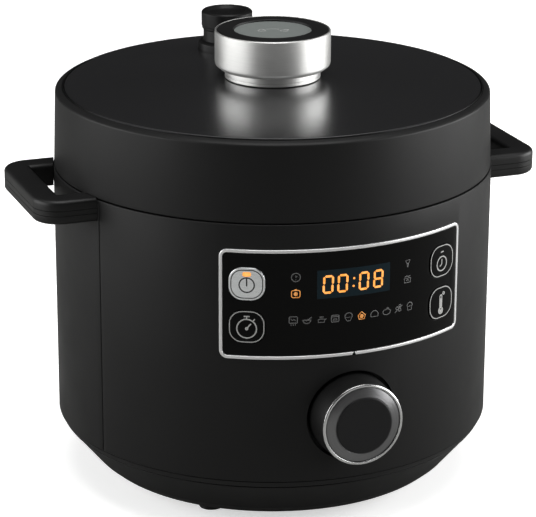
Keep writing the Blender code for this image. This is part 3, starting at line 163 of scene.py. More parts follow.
def arc(centre: Point, radii: Point, start: float, end: float, steps: int) -> list[Point]:
    """Points of an arc of a circle or an ellipse, its ends included.

    Args:
        centre: middle of the arc.
        radii: reach along the first and the second axis.
        start: first angle, in degrees from the first axis.
        end: last angle, in degrees.
        steps: spans in the arc.

    Returns:
        The points in order.
    """
    points = []
    for step in range(steps + 1):
        angle = math.radians(start + (end - start) * step / steps)
        points.append(
            (centre[0] + radii[0] * math.cos(angle), centre[1] + radii[1] * math.sin(angle))
        )
    return points


def rounded_rectangle(size: Point, corner: float, centre: Point = (0, 0), steps: int = 8) -> list[Point]:
    """Outline of a rectangle with round corners.

    Args:
        size: width and height.
        corner: corner radius.
        centre: middle of the rectangle.
        steps: spans in each corner.

    Returns:
        The points, anticlockwise.
    """
    reach, rise = size[0] / 2 - corner, size[1] / 2 - corner
    points: list[Point] = []
    for quarter, (x, y) in enumerate(((1, 1), (-1, 1), (-1, -1), (1, -1))):
        middle = (centre[0] + x * reach, centre[1] + y * rise)
        points += arc(middle, (corner, corner), 90 * quarter, 90 * quarter + 90, steps)
    return points


def rectangle(low: Point, high: Point) -> list[Point]:
    """Outline of a rectangle between two corners."""
    return [(low[0], low[1]), (high[0], low[1]), (high[0], high[1]), (low[0], high[1])]


def eased(outline: Sequence[Point], edge: float, steps: int = 4) -> list[Point]:
    """Round the corners of a turned piece's outline.

    Args:
        outline: (radius, height) points, with a corner radius of its own as a third number
            where it differs. Points on the axis stay sharp.
        edge: corner radius of the other points.
        steps: spans in each rounded corner.

    Returns:
        The rounded outline.
    """
    closed = outline[0][0] > 0
    points: list[Point] = []
    for index, point in enumerate(outline):
        here = Vector(point[:2])
        radius = point[2] if len(point) > 2 else edge
        ends = not closed and index in (0, len(outline) - 1)
        before = Vector(outline[index - 1][:2]) - here
        after = Vector(outline[(index + 1) % len(outline)][:2]) - here
        if radius <= 0 or ends or before.length < 1e-6 or after.length < 1e-6:
            points.append(tuple(here))
            continue
        angle = before.angle(after)
        if angle > math.radians(170) or angle < math.radians(5):
            points.append(tuple(here))
            continue
        back = min(radius / math.tan(angle / 2), 0.45 * before.length, 0.45 * after.length)
        first = here + before.normalized() * back
        last = here + after.normalized() * back
        for step in range(steps + 1):
            share = step / steps
            curve = first.lerp(here, share).lerp(here.lerp(last, share), share)
            points.append(tuple(curve))
    return points


# Geometry Nodes ------------------------------------------------------------------------------


def add(tree: bpy.types.NodeTree, kind: str, inputs: dict | None = None, **settings) -> bpy.types.Node:
    """Add a node to a tree.

    Args:
        tree: shader or geometry tree.
        kind: Blender's name of the node type.
        inputs: sockets to link, or values to set, by input name or number.
        settings: properties of the node.

    Returns:
        The node.
    """
    node = tree.nodes.new(kind)
    for name, value in settings.items():
        setattr(node, name, value)
    for name, value in (inputs or {}).items():
        if isinstance(value, bpy.types.NodeSocket):
            tree.links.new(value, node.inputs[name])
        else:
            node.inputs[name].default_value = value
    return node


def maths(tree: bpy.types.NodeTree, operation: str, *values) -> bpy.types.NodeSocket:
    """Work out a number in a tree from sockets or plain numbers."""
    return add(tree, "ShaderNodeMath", dict(enumerate(values)), operation=operation).outputs[0]


class Recipe:
    """A Geometry Nodes tree with named sizes, run on a carrier mesh."""

    def __init__(self, name: str, sizes: dict[str, str]) -> None:
        """Start the tree.

        Args:
            name: what the tree makes.
            sizes: kind of socket of each named input.
        """
        self.group = bpy.data.node_groups.new(name, "GeometryNodeTree")
        face = self.group.interface
        face.new_socket("Geometry", in_out="INPUT", socket_type="NodeSocketGeometry")
        for label, kind in {**sizes, "Finish": "NodeSocketMaterial"}.items():
            face.new_socket(label, in_out="INPUT", socket_type=kind)
        face.new_socket("Geometry", in_out="OUTPUT", socket_type="NodeSocketGeometry")
        self.sizes = add(self.group, "NodeGroupInput").outputs

    def node(self, kind: str, inputs: dict | None = None, **settings) -> bpy.types.bpy_prop_collection:
        """Add a node to the tree and give its outputs."""
        return add(self.group, kind, inputs, **settings).outputs

    def close(self, geometry: bpy.types.NodeSocket) -> "Recipe":
        """End the tree in realised instances with the finish set."""
        real = self.node("GeometryNodeRealizeInstances", {"Geometry": geometry})
        smooth = self.node("GeometryNodeSetShadeSmooth", {"Geometry": real[0]})
        done = self.node(
            "GeometryNodeSetMaterial", {"Geometry": smooth[0], "Material": self.sizes["Finish"]}
        )
        add(self.group, "NodeGroupOutput", {"Geometry": done[0]})
        return self

    def run(self, carrier: bpy.types.Mesh, **values) -> bmesh.types.BMesh:
        """Run the tree on a carrier.

        Args:
            carrier: mesh that the tree starts from. It is used up.
            values: value of each named input, with _ for a space.

        Returns:
            The result as a plain mesh.
        """
        holder = bpy.data.objects.new("carrier", carrier)
        bpy.context.scene.collection.objects.link(holder)
        modifier = holder.modifiers.new("recipe", "NODES")
        modifier.node_group = self.group
        for item in self.group.interface.items_tree:
            value = values.get(item.name.replace(" ", "_")) if item.in_out == "INPUT" else None
            if value is not None:
                modifier[item.identifier] = value
        made = evaluated(holder)
        holder.modifiers.clear()
        discard(holder)
        return made


def evaluated(holder: bpy.types.Object) -> bmesh.types.BMesh:
    """Read an object's mesh with its modifiers, as a plain mesh with its doubles merged."""
    bpy.context.view_layer.update()
    graph = bpy.context.evaluated_depsgraph_get()
    mesh = bpy.data.meshes.new_from_object(holder.evaluated_get(graph))
    form = bmesh.new()
    form.from_mesh(mesh)
    bpy.data.meshes.remove(mesh)
    bmesh.ops.remove_doubles(form, verts=form.verts, dist=1e-4)
    return form


def discard(holder: bpy.types.Object) -> None:
    """Remove a helper object and its data."""
    data = holder.data
    bpy.data.objects.remove(holder)
    {"MESH": bpy.data.meshes, "CURVE": bpy.data.curves}[
        "MESH" if isinstance(data, bpy.types.Mesh) else "CURVE"
    ].remove(data)


def carrier_of(points: Sequence[Point], edges: Iterable[tuple[int, int]] = ()) -> bpy.types.Mesh:
    """Make a carrier mesh from points and edges."""
    mesh = bpy.data.meshes.new("carrier")
    mesh.from_pydata([(*point, 0)[:3] for point in points], list(edges), [])
    return mesh


def turning_recipe() -> Recipe:
    """Tree that turns a row of (radius, height) points about Z, from a start through a sweep."""
    made = Recipe(
        "turned piece",
        {"Facets": "NodeSocketInt", "Start": "NodeSocketFloat", "Sweep": "NodeSocketFloat"},
    )
    tree, sizes = made.group, made.sizes
    rows = made.node("GeometryNodeAttributeDomainSize", {"Geometry": sizes["Geometry"]})[0]
    columns = maths(tree, "ADD", sizes["Facets"], 1)
    grid = made.node("GeometryNodeMeshGrid", {"Vertices X": rows, "Vertices Y": columns})
    index = made.node("GeometryNodeInputIndex")[0]
    row = maths(tree, "FLOOR", maths(tree, "DIVIDE", maths(tree, "ADD", index, 0.5), columns))
    column = maths(tree, "SUBTRACT", index, maths(tree, "MULTIPLY", row, columns))
    place = made.node("GeometryNodeInputPosition")[0]
    profile = made.node(
        "GeometryNodeSampleIndex",
        {"Geometry": sizes["Geometry"], "Value": place, "Index": row},
        data_type="FLOAT_VECTOR",
    )[0]
    parts = made.node("ShaderNodeSeparateXYZ", {0: profile})
    share = maths(tree, "DIVIDE", column, sizes["Facets"])
    angle = maths(tree, "ADD", sizes["Start"], maths(tree, "MULTIPLY", sizes["Sweep"], share))
    point = made.node(
        "ShaderNodeCombineXYZ",
        {
            0: maths(tree, "MULTIPLY", parts[0], maths(tree, "SINE", angle)),
            1: maths(tree, "MULTIPLY", parts[0], maths(tree, "MULTIPLY", maths(tree, "COSINE", angle), -1)),
            2: parts[1],
        },
    )[0]
    turned = made.node("GeometryNodeSetPosition", {"Geometry": grid[0], "Position": point})[0]
    whole = made.node("GeometryNodeMergeByDistance", {"Geometry": turned, "Distance": 1e-4})[0]
    return made.close(whole)


def coil_recipe() -> Recipe:
    """Tree that winds round wire into a helical spring along Z."""
    made = Recipe(
        "coil spring",
        {
            "Radius": "NodeSocketFloat", "Wire": "NodeSocketFloat", "Turns": "NodeSocketFloat",
            "Length": "NodeSocketFloat"
        },
    )
    sizes = made.sizes
    helix = made.node(
        "GeometryNodeCurveSpiral",
        {
            "Resolution": 40,
            "Rotations": sizes["Turns"],
            "Start Radius": sizes["Radius"],
            "End Radius": sizes["Radius"],
            "Height": sizes["Length"],
        },
    )[0]
    wire = made.node("GeometryNodeCurvePrimitiveCircle", {"Resolution": 12, "Radius": sizes["Wire"]})[0]
    tube = made.node("GeometryNodeCurveToMesh", {"Curve": helix, "Profile Curve": wire, "Fill Caps": True})[0]
    return made.close(tube)


def line_recipe() -> Recipe:
    """Tree that lays a printed line of a width and a thickness along flat edges."""
    made = Recipe("printed line", {"Width": "NodeSocketFloat", "Thickness": "NodeSocketFloat"})
    tree, sizes = made.group, made.sizes
    path = made.node("GeometryNodeMeshToCurve", {"Mesh": sizes["Geometry"]})[0]
    half = maths(tree, "MULTIPLY", sizes["Width"], 0.5)
    round_ = made.node("GeometryNodeCurvePrimitiveCircle", {"Resolution": 8, "Radius": half})[0]
    tube = made.node(
        "GeometryNodeCurveToMesh", {"Curve": path, "Profile Curve": round_, "Fill Caps": True}
    )[0]
    parts = made.node("ShaderNodeSeparateXYZ", {0: made.node("GeometryNodeInputPosition")[0]})
    squeeze = maths(tree, "DIVIDE", sizes["Thickness"], sizes["Width"])
    flat = made.node(
        "ShaderNodeCombineXYZ", {0: parts[0], 1: parts[1], 2: maths(tree, "MULTIPLY", parts[2], squeeze)}
    )[0]
    return made.close(made.node("GeometryNodeSetPosition", {"Geometry": tube, "Position": flat})[0])


def sweep_recipe() -> Recipe:
    """Tree that sweeps a closed section along a flat path, its height kept upright."""
    made = Recipe("swept bar", {"Section": "NodeSocketObject"})
    path = made.node("GeometryNodeMeshToCurve", {"Mesh": made.sizes["Geometry"]})[0]
    upright = made.node("GeometryNodeSetCurveNormal", {"Curve": path}, mode="Z_UP")[0]
    shape = made.node("GeometryNodeObjectInfo", {"Object": made.sizes["Section"]})["Geometry"]
    section = made.node("GeometryNodeMeshToCurve", {"Mesh": shape})[0]
    bar = made.node(
        "GeometryNodeCurveToMesh", {"Curve": upright, "Profile Curve": section, "Fill Caps": True}
    )[0]
    return made.close(bar)


def copying_recipe() -> Recipe:
    """Tree that sets a copy of a piece on each point, turned by the point's own angles."""
    made = Recipe("copies", {"Piece": "NodeSocketObject"})
    piece = made.node("GeometryNodeObjectInfo", {"Object": made.sizes["Piece"]})["Geometry"]
    turn = made.node("GeometryNodeInputNamedAttribute", {"Name": "turn"}, data_type="FLOAT_VECTOR")[0]
    copies = made.node(
        "GeometryNodeInstanceOnPoints",
        {"Points": made.sizes["Geometry"], "Instance": piece, "Rotation": turn},
    )[0]
    return made.close(copies)


TURNING, COILING, PRINTING, SWEEPING, COPYING = (
    turning_recipe(), coil_recipe(), line_recipe(), sweep_recipe(), copying_recipe(),
)


# Solids --------------------------------------------------------------------------------------


class Solid:
    """A mesh in millimetres while it is being shaped."""

    def __init__(self, form: bmesh.types.BMesh) -> None:
        """Take over a mesh and turn its faces outwards."""
        bmesh.ops.recalc_face_normals(form, faces=form.faces)
        self.form = form

    @classmethod
    def turned(
        cls, outline: Sequence[Point], facets: int = FINE, edge: float = 0.4,
        start: float = 0.0, sweep: float = 360.0,
    ) -> "Solid":
        """Turn an outline about Z.

        Args:
            outline: (radius, height) points, with an optional corner radius as a third number.
                An outline that starts on the axis ends on it; any other is closed.
            facets: steps in the sweep.
            edge: corner radius where a point gives none.
            start: first bearing.
            sweep: degrees turned through.

        Returns:
            The closed solid.
        """
        points = eased(outline, edge)
        if outline[0][0] > 0:
            points.append(points[0])
        form = TURNING.run(
            carrier_of(points), Facets=facets, Start=math.radians(start), Sweep=math.radians(sweep)
        )
        if sweep < 360:
            open_edges = [item for item in form.edges if item.is_boundary]
            bmesh.ops.holes_fill(form, edges=open_edges, sides=0)
        return cls(form)

    @classmethod
    def slab(cls, loops: Sequence[Sequence[Point]], low: float, high: float, edge: float = 0.0) -> "Solid":
        """Extrude a flat shape, with its edges rounded.

        Args:
            loops: outline of the shape and of each hole in it.
            low: lower face.
            high: upper face.
            edge: radius of the rounded edges.

        Returns:
            The closed solid.
        """
        curve = bpy.data.curves.new("slab", "CURVE")
        curve.dimensions, curve.fill_mode = "2D", "BOTH"
        curve.extrude = (high - low) / 2 - edge
        curve.bevel_depth, curve.bevel_resolution, curve.offset = edge, 3, -edge
        for loop in loops:
            spline = curve.splines.new("POLY")
            spline.points.add(len(loop) - 1)
            for spot, point in zip(spline.points, loop):
                spot.co = (point[0], point[1], 0, 1)
            spline.use_cyclic_u = True
        holder = bpy.data.objects.new("slab", curve)
        bpy.context.scene.collection.objects.link(holder)
        form = evaluated(holder)
        discard(holder)
        form.transform(shifted(0, 0, (low + high) / 2))
        return cls(form)

    @classmethod
    def block(cls, low: Point, high: Point, edge: float = 0.3, corner: float = 0.0) -> "Solid":
        """Box between two corners with rounded edges."""
        if corner:
            size = (high[0] - low[0], high[1] - low[1])
            middle = ((high[0] + low[0]) / 2, (high[1] + low[1]) / 2)
            return cls.slab([rounded_rectangle(size, corner, middle)], low[2], high[2], edge)
        form = bmesh.new()
        bmesh.ops.create_cube(form, size=1)
        span = Vector(high) - Vector(low)
        form.transform(Matrix.Translation((Vector(low) + Vector(high)) / 2) @ Matrix.Diagonal((*span, 1)))
        return cls(form).rounded(edge) if edge else cls(form)

    @classmethod
    def rod(cls, radius: float, low: float, high: float, facets: int = PLAIN, edge: float = 0.0) -> "Solid":
        """Cylinder along Z."""
        return cls.turned([(0, low), (radius, low), (radius, high), (0, high)], facets, edge)

    @classmethod
    def coil(cls, radius: float, wire: float, turns: float, low: float, high: float) -> "Solid":
        """Helical spring along Z."""
        form = COILING.run(
            carrier_of([(0, 0, 0)]), Radius=radius, Wire=wire, Turns=float(turns),
            Length=high - low - 2 * wire
        )
        form.transform(shifted(0, 0, low + wire))
        return cls(form)

    @classmethod
    def lines(cls, strokes: Sequence[Sequence[Point]], width: float, thickness: float = 0.08) -> "Solid":
        """Printed lines along strokes; a stroke that ends where it starts is closed."""
        points: list[Point] = []
        edges = []
        for stroke in strokes:
            closed = (Vector(stroke[0]) - Vector(stroke[-1])).length < 1e-6
            run = stroke[:-1] if closed else stroke
            first = len(points)
            points += run
            edges += [(first + step, first + step + 1) for step in range(len(run) - 1)]
            if closed:
                edges.append((first + len(run) - 1, first))
        return cls(PRINTING.run(carrier_of(points, edges), Width=width, Thickness=thickness))

    def holder(self) -> bpy.types.Object:
        """Make a helper object from the mesh."""
        mesh = bpy.data.meshes.new("helper")
        self.form.to_mesh(mesh)
        made = bpy.data.objects.new("helper", mesh)
        bpy.context.scene.collection.objects.link(made)
        return made

    def modified(self, kind: str, **settings) -> "Solid":
        """Apply one modifier."""
        made = self.holder()
        modifier = made.modifiers.new(kind, kind)
        for name, value in settings.items():
            setattr(modifier, name, value)
        form = evaluated(made)
        discard(made)
        self.form.free()
        return Solid(form)

    def combined(self, operation: str, others: Iterable["Solid"]) -> "Solid":
        """Apply a Boolean with each of the other solids, which are used up."""
        result = self
        for other in others:
            tool = other.holder()
            other.form.free()
            result = result.modified("BOOLEAN", operation=operation, object=tool)
            discard(tool)
        return result

    def cut(self, *others: "Solid") -> "Solid":
        """Take other solids away from this one."""
        return self.combined("DIFFERENCE", others)

    def joined(self, *others: "Solid") -> "Solid":
        """Unite other solids with this one."""
        return self.combined("UNION", others)

    def with_(self, *others: "Solid") -> "Solid":
        """Take other solids along in the same mesh, without uniting them."""
        for other in others:
            mesh = bpy.data.meshes.new("helper")
            other.form.to_mesh(mesh)
            other.form.free()
            self.form.from_mesh(mesh)
            bpy.data.meshes.remove(mesh)
        return self

    def rounded(self, width: float, angle: float = 50.0, segments: int = 3) -> "Solid":
        """Round every edge sharper than an angle."""
        return self.modified(
            "BEVEL", width=width, segments=segments, limit_method="ANGLE",
            angle_limit=math.radians(angle), harden_normals=False,
        )

    def copied(self, places: Sequence[Matrix]) -> "Solid":
        """Put one copy of the solid at each place."""
        mesh = carrier_of([tuple(place.translation) for place in places])
        turns = mesh.attributes.new("turn", "FLOAT_VECTOR", "POINT")
        for spot, place in zip(turns.data, places):
            spot.vector = place.to_euler()
        piece = self.holder()
        form = COPYING.run(mesh, Piece=piece)
        discard(piece)
        self.form.free()
        return Solid(form)

    def moved(self, place: Matrix) -> "Solid":
        """Move the solid."""
        self.form.transform(place)
        return self

    def bent(self, height: float, step: float = 1.5) -> "Solid":
        """Bend a flat shape round the pot axis.

        Args:
            height: height above the floor of the shape's own X axis.
            step: degrees between the bends.

        Returns:
            The solid, whose X was measured round the body and whose Z was its radius.
        """
        span = BODY_RADIUS * math.radians(step)
        reach = max(abs(vert.co.x) for vert in self.form.verts)
        count = int(reach / span)
        for number in range(-count, count + 1):
            bmesh.ops.bisect_plane(
                self.form, geom=[*self.form.verts, *self.form.edges, *self.form.faces],
                plane_co=(number * span, 0, 0), plane_no=(1, 0, 0), dist=1e-4,
            )
        for vert in self.form.verts:
            angle, up, radius = vert.co.x / BODY_RADIUS, vert.co.y, vert.co.z
            vert.co = (radius * math.sin(angle), -radius * math.cos(angle), up + height)
        bmesh.ops.recalc_face_normals(self.form, faces=self.form.faces)
        return self

    def crowned(self, half: float, drop: float, above: float, step: float = 1.5) -> "Solid":
        """Lower a front face towards its sides, so that it is a shallow cylinder.

        Args:
            half: half the face's width.
            drop: how far the face is lowered at that distance from the middle.
            above: height above which points are lowered.
            step: distance between the cuts that let the face bend.

        Returns:
            This solid.
        """
        for count in range(-int(half / step), int(half / step) + 1):
            parts = [*self.form.verts, *self.form.edges, *self.form.faces]
            bmesh.ops.bisect_plane(
                self.form, geom=parts, dist=1e-4, plane_co=(count * step, 0, 0), plane_no=(1, 0, 0)
            )
        for point in self.form.verts:
            if point.co.z > above:
                point.co.z -= drop * (point.co.x / half) ** 2
        return self

    def settle(
        self, name: str, finish: "Finish", body: str, *nodes: str, sharp: float = 32.0
    ) -> bpy.types.Object:
        """Finish the piece: metres, shading, material and the body that carries it.

        Args:
            name: the piece's name.
            finish: what its surface is.
            body: body of the frame that it rides on.
            nodes: nodes of the frame that it stands for.
            sharp: angle in degrees from which an edge is drawn sharp.

        Returns:
            The piece.
        """
        form = self.form
        bmesh.ops.dissolve_degenerate(form, dist=1e-5, edges=form.edges)
        bmesh.ops.recalc_face_normals(form, faces=form.faces)
        form.transform(Matrix.Scale(MM, 4))
        mesh = bpy.data.meshes.new(name)
        form.to_mesh(mesh)
        form.free()
        mesh.materials.clear()
        mesh.materials.append(finish.material())
        mesh.shade_smooth()
        mesh.set_sharp_from_angle(angle=math.radians(sharp))
        piece = bpy.data.objects.new(name, mesh)
        bpy.context.scene.collection.objects.link(piece)
        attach(piece, body)
        if nodes:
            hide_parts(*nodes)
        log.info("%s: %d faces, rides on %s", name, len(mesh.polygons), body)
        return piece


def dress(node: str, finish: "Finish") -> None:
    """Give a node of the frame a better material."""
    mesh = frame["nodes"][node].data
    mesh.materials.clear()
    mesh.materials.append(finish.material())
    log.info("%s: kept, dressed as %s", node, finish.name)


# Finishes ------------------------------------------------------------------------------------


def linear(colour: str) -> tuple[float, float, float, float]:
    """Turn an sRGB hex colour into a linear one."""
    parts = [int(colour[place : place + 2], 16) / 255 for place in (1, 3, 5)]
    return (*(c / 12.92 if c <= 0.04045 else ((c + 0.055) / 1.055) ** 2.4 for c in parts), 1.0)


def per_mm(size: float) -> float:
    """Texture scale, per metre, at which a pattern's features are a size in millimetres."""
    return 1 / (size * MM)


class Lay(Enum):
    """The way that the fine scratches of a metal run."""

    ROUND_UPRIGHT = "round the pot axis"
    ROUND_VALVE = "round the valve's axis"
    ROUND_DIAL = "round the dial's axis"
    LEVEL = "level, round the body's wall"


@dataclass(frozen=True)
class Finish:
    """A surface: its colour, how it was made, and the record's slot that it belongs to."""

    name: str
    slot: str
    colour: str
    roughness: float
    metallic: float = 0.0
    ior: float = 1.5
    specular: float = 0.5

    def material(self) -> bpy.types.Material:
        """Give the finish's material, made the first time that it is asked for."""
        known = bpy.data.materials.get(self.name)
        if known:
            return known
        made = bpy.data.materials.new(self.name)
        made.use_nodes = True
        shader = made.node_tree.nodes["Principled BSDF"]
        shader.inputs["Base Color"].default_value = linear(self.colour)
        shader.inputs["Roughness"].default_value = self.roughness
        shader.inputs["Metallic"].default_value = self.metallic
        shader.inputs["IOR"].default_value = self.ior
        shader.inputs["Specular IOR Level"].default_value = self.specular
        self.texture(made.node_tree, shader)
        return made

    def texture(self, tree: bpy.types.NodeTree, shader: bpy.types.Node) -> None:
        """Add the surface's pattern. A plain finish has none."""

    def place(self, tree: bpy.types.NodeTree) -> bpy.types.NodeSocket:
        """Give the piece's own coordinates in metres."""
        return add(tree, "ShaderNodeTexCoord").outputs["Object"]

    def bump(
        self, tree: bpy.types.NodeTree, shader: bpy.types.Node, height: bpy.types.NodeSocket,
        depth: float, strength: float = 1.0,
    ) -> None:
        """Raise the surface by a pattern, to a depth in millimetres."""
        inputs = {"Height": height, "Distance": depth * MM, "Strength": strength}
        raised = add(tree, "ShaderNodeBump", inputs)
        tree.links.new(raised.outputs[0], shader.inputs["Normal"])

    def blend(
        self, tree: bpy.types.NodeTree, share: bpy.types.NodeSocket, low: str, high: str
    ) -> bpy.types.NodeSocket:
        """Mix two hex colours by a share from 0 to 1."""
        mixed = add(tree, "ShaderNodeMix", {0: share, 6: linear(low), 7: linear(high)}, data_type="RGBA")
        return mixed.outputs[2]

    def ranged(
        self, tree: bpy.types.NodeTree, value: bpy.types.NodeSocket, low: float, high: float,
        frm: float = 0.3, to: float = 0.7,
    ) -> bpy.types.NodeSocket:
        """Map a pattern's value onto a range."""
        inputs = {0: value, 1: frm, 2: to, 3: low, 4: high}
        return add(tree, "ShaderNodeMapRange", inputs).outputs[0]


@dataclass(frozen=True)
class Moulded(Finish):
    """Injection-moulded plastic from a spark-eroded mould: a fine, even, dull grain."""

    grain: float = 0.35  # grain width; the real grain is about 0.1 mm, too fine to show
    depth: float = 0.012
    cloud: float = 45.0  # width of the slow changes in sheen
    sheen: float = 0.05  # change in roughness across them

    def texture(self, tree: bpy.types.NodeTree, shader: bpy.types.Node) -> None:
        """Add the grain and the slow changes in sheen."""
        cloud = add(
            tree, "ShaderNodeTexNoise",
            {"Vector": self.place(tree), "Scale": per_mm(self.cloud), "Detail": 3.0},
        ).outputs[0]
        rough = self.ranged(tree, cloud, self.roughness - self.sheen, self.roughness + self.sheen)
        tree.links.new(rough, shader.inputs["Roughness"])
        grain_noise = add(
            tree, "ShaderNodeTexNoise",
            {"Vector": self.place(tree), "Scale": per_mm(self.grain), "Detail": 2.0},
        ).outputs[0]
        self.bump(tree, shader, grain_noise, self.depth)


@dataclass(frozen=True)
class Brushed(Finish):
    """Metal with the fine parallel scratches of an abrasive belt or of a turning tool."""

    lay: Lay = Lay.ROUND_UPRIGHT
    scratch: float = 0.22  # spacing; real scratches are about 0.05 mm, too fine to show
    depth: float = 0.006
    spread: float = 0.10  # change in roughness between scratches
    contrast: float = 0.12  # how much darker the deepest scratches are
    metallic: float = 1.0
    centre: tuple[float, float, float] = (0.0, 0.0, 0.0)
    stretch: float = 0.0  # how far highlights stretch across the scratches

    def across(self, tree: bpy.types.NodeTree) -> bpy.types.NodeSocket:
        """Coordinates that change across the scratches and hardly change along them."""
        spot = add(
            tree, "ShaderNodeVectorMath",
            {0: self.place(tree), 1: Vector(self.centre) * MM}, operation="SUBTRACT",
        ).outputs[0]
        x, y, z = add(tree, "ShaderNodeSeparateXYZ", {0: spot}).outputs
        if self.lay is Lay.ROUND_DIAL:
            side, up, along = x, z, y
        else:
            side, up, along = x, y, z
        reach = maths(
            tree, "SQRT",
            maths(tree, "ADD", maths(tree, "MULTIPLY", side, side), maths(tree, "MULTIPLY", up, up))
        )
        turn = maths(tree, "MULTIPLY", maths(tree, "DIVIDE", side, maths(tree, "ADD", reach, 1e-6)), 4 * MM)
        if self.lay is Lay.LEVEL:
            reach = maths(tree, "MULTIPLY", reach, 0.02)
        return add(
            tree, "ShaderNodeCombineXYZ", {0: reach, 1: along, 2: maths(tree, "MULTIPLY", turn, 0.3)}
        ).outputs[0]

    def texture(self, tree: bpy.types.NodeTree, shader: bpy.types.Node) -> None:
        """Add the scratches to colour, roughness and height."""
        scratches = add(
            tree, "ShaderNodeTexNoise",
            {"Vector": self.across(tree), "Scale": per_mm(self.scratch), "Detail": 3.0, "Roughness": 0.65},
        ).outputs[0]
        rough = self.ranged(
            tree, scratches, self.roughness - self.spread / 2, self.roughness + self.spread / 2
        )
        tree.links.new(rough, shader.inputs["Roughness"])
        full = linear(self.colour)
        worn = tuple(part * (1 - self.contrast) for part in full[:3]) + (1.0,)
        share = self.ranged(tree, scratches, 0.0, 1.0)
        mixed = add(tree, "ShaderNodeMix", {0: share, 6: worn, 7: full}, data_type="RGBA").outputs[2]
        tree.links.new(mixed, shader.inputs["Base Color"])
        self.bump(tree, shader, scratches, self.depth)
        if self.stretch:
            shader.inputs["Anisotropic"].default_value = self.stretch
            shader.inputs["Anisotropic Rotation"].default_value = 0.25
            axis = "Y" if self.lay is Lay.ROUND_DIAL else "Z"
            round_it = add(tree, "ShaderNodeTangent", direction_type="RADIAL", axis=axis)
            tree.links.new(round_it.outputs[0], shader.inputs["Tangent"])


@dataclass(frozen=True)
class Glossy(Finish):
    """Polished plastic or lacquer: nearly flat, with the faint orange peel of its moulding."""

    peel: float = 6.0
    haze: float = 18.0  # width of the slow changes in gloss
    depth: float = 0.01

    def texture(self, tree: bpy.types.NodeTree, shader: bpy.types.Node) -> None:
        """Add the orange peel and a little haze."""
        haze = add(
            tree, "ShaderNodeTexNoise",
            {"Vector": self.place(tree), "Scale": per_mm(self.haze), "Detail": 4.0},
        ).outputs[0]
        rough = self.ranged(tree, haze, self.roughness * 0.7, self.roughness * 1.5)
        tree.links.new(rough, shader.inputs["Roughness"])
        grain_noise = add(
            tree, "ShaderNodeTexNoise",
            {"Vector": self.place(tree), "Scale": per_mm(self.peel), "Detail": 1.0},
        ).outputs[0]
        self.bump(tree, shader, grain_noise, self.depth)


@dataclass(frozen=True)
class Speckled(Finish):
    """Sprayed or cast surface with flecks of a second colour."""

    fleck: str = "#8a8a8c"
    size: float = 1.1
    share: float = 0.68  # noise level above which a fleck shows
    depth: float = 0.02

    def texture(self, tree: bpy.types.NodeTree, shader: bpy.types.Node) -> None:
        """Add the flecks to colour and height."""
        noise = add(
            tree, "ShaderNodeTexNoise",
            {"Vector": self.place(tree), "Scale": per_mm(self.size), "Detail": 2.0},
        ).outputs[0]
        shown = self.ranged(tree, noise, 0.0, 1.0, self.share, self.share + 0.03)
        tree.links.new(self.blend(tree, shown, self.colour, self.fleck), shader.inputs["Base Color"])
        self.bump(tree, shader, noise, self.depth)


@dataclass(frozen=True)
class Soft(Finish):
    """Silicone or rubber: dull, faintly mottled, and a little light gets into it."""

    mottle: str = "#b9b8b0"
    scatter: float = 0.0
    cloud: float = 14.0
    grain: float = 0.6

    def texture(self, tree: bpy.types.NodeTree, shader: bpy.types.Node) -> None:
        """Add the mottle and the fine grain."""
        cloud_noise = add(
            tree, "ShaderNodeTexNoise",
            {"Vector": self.place(tree), "Scale": per_mm(self.cloud), "Detail": 4.0},
        ).outputs[0]
        share = self.ranged(tree, cloud_noise, 0.0, 1.0)
        tree.links.new(self.blend(tree, share, self.colour, self.mottle), shader.inputs["Base Color"])
        grain_noise = add(
            tree, "ShaderNodeTexNoise",
            {"Vector": self.place(tree), "Scale": per_mm(self.grain), "Detail": 2.0},
        ).outputs[0]
        self.bump(tree, shader, grain_noise, 0.02)
        if self.scatter:
            shader.inputs["Subsurface Weight"].default_value = self.scatter
            shader.inputs["Subsurface Scale"].default_value = 2 * MM


@dataclass(frozen=True)
class Clear(Finish):
    """Clear moulded plastic that shows what is behind it, with faint flow lines."""

    def texture(self, tree: bpy.types.NodeTree, shader: bpy.types.Node) -> None:
        """Let light through and add the flow lines."""
        shader.inputs["Transmission Weight"].default_value = 0.92
        grain_noise = add(
            tree, "ShaderNodeTexNoise",
            {"Vector": self.place(tree), "Scale": per_mm(9.0), "Detail": 2.0},
        ).outputs[0]
        self.bump(tree, shader, grain_noise, 0.01)


@dataclass(frozen=True)
class Lit(Finish):
    """A lamp or a lit segment under the fascia, brightest in its middle parts."""

    glow: float = 1.0
    core: str = "#ffc078"

    def texture(self, tree: bpy.types.NodeTree, shader: bpy.types.Node) -> None:
        """Light the surface, with the small unevenness of a diffused lamp."""
        cloud_noise = add(
            tree, "ShaderNodeTexNoise",
            {"Vector": self.place(tree), "Scale": per_mm(2.5), "Detail": 1.0},
        ).outputs[0]
        share = self.ranged(tree, cloud_noise, 0.0, 1.0)
        colour = self.blend(tree, share, self.colour, self.core)
        tree.links.new(colour, shader.inputs["Emission Color"])
        shader.inputs["Emission Strength"].default_value = self.glow


@dataclass(frozen=True)
class Board(Finish):
    """Circuit board: solder mask over copper tracks."""

    def texture(self, tree: bpy.types.NodeTree, shader: bpy.types.Node) -> None:
        """Draw tracks about 1.2 mm apart as a slightly paler green."""
        tracks = add(
            tree, "ShaderNodeTexBrick",
            {
                "Vector": self.place(tree), "Color1": linear("#0d4a28"), "Color2": linear("#0f5a30"),
                "Mortar": linear("#2c8a52"), "Scale": per_mm(12.0), "Mortar Size": 0.04,
            },
        )
        tree.links.new(tracks.outputs[0], shader.inputs["Base Color"])
        self.bump(tree, shader, tracks.outputs[1], 0.03)


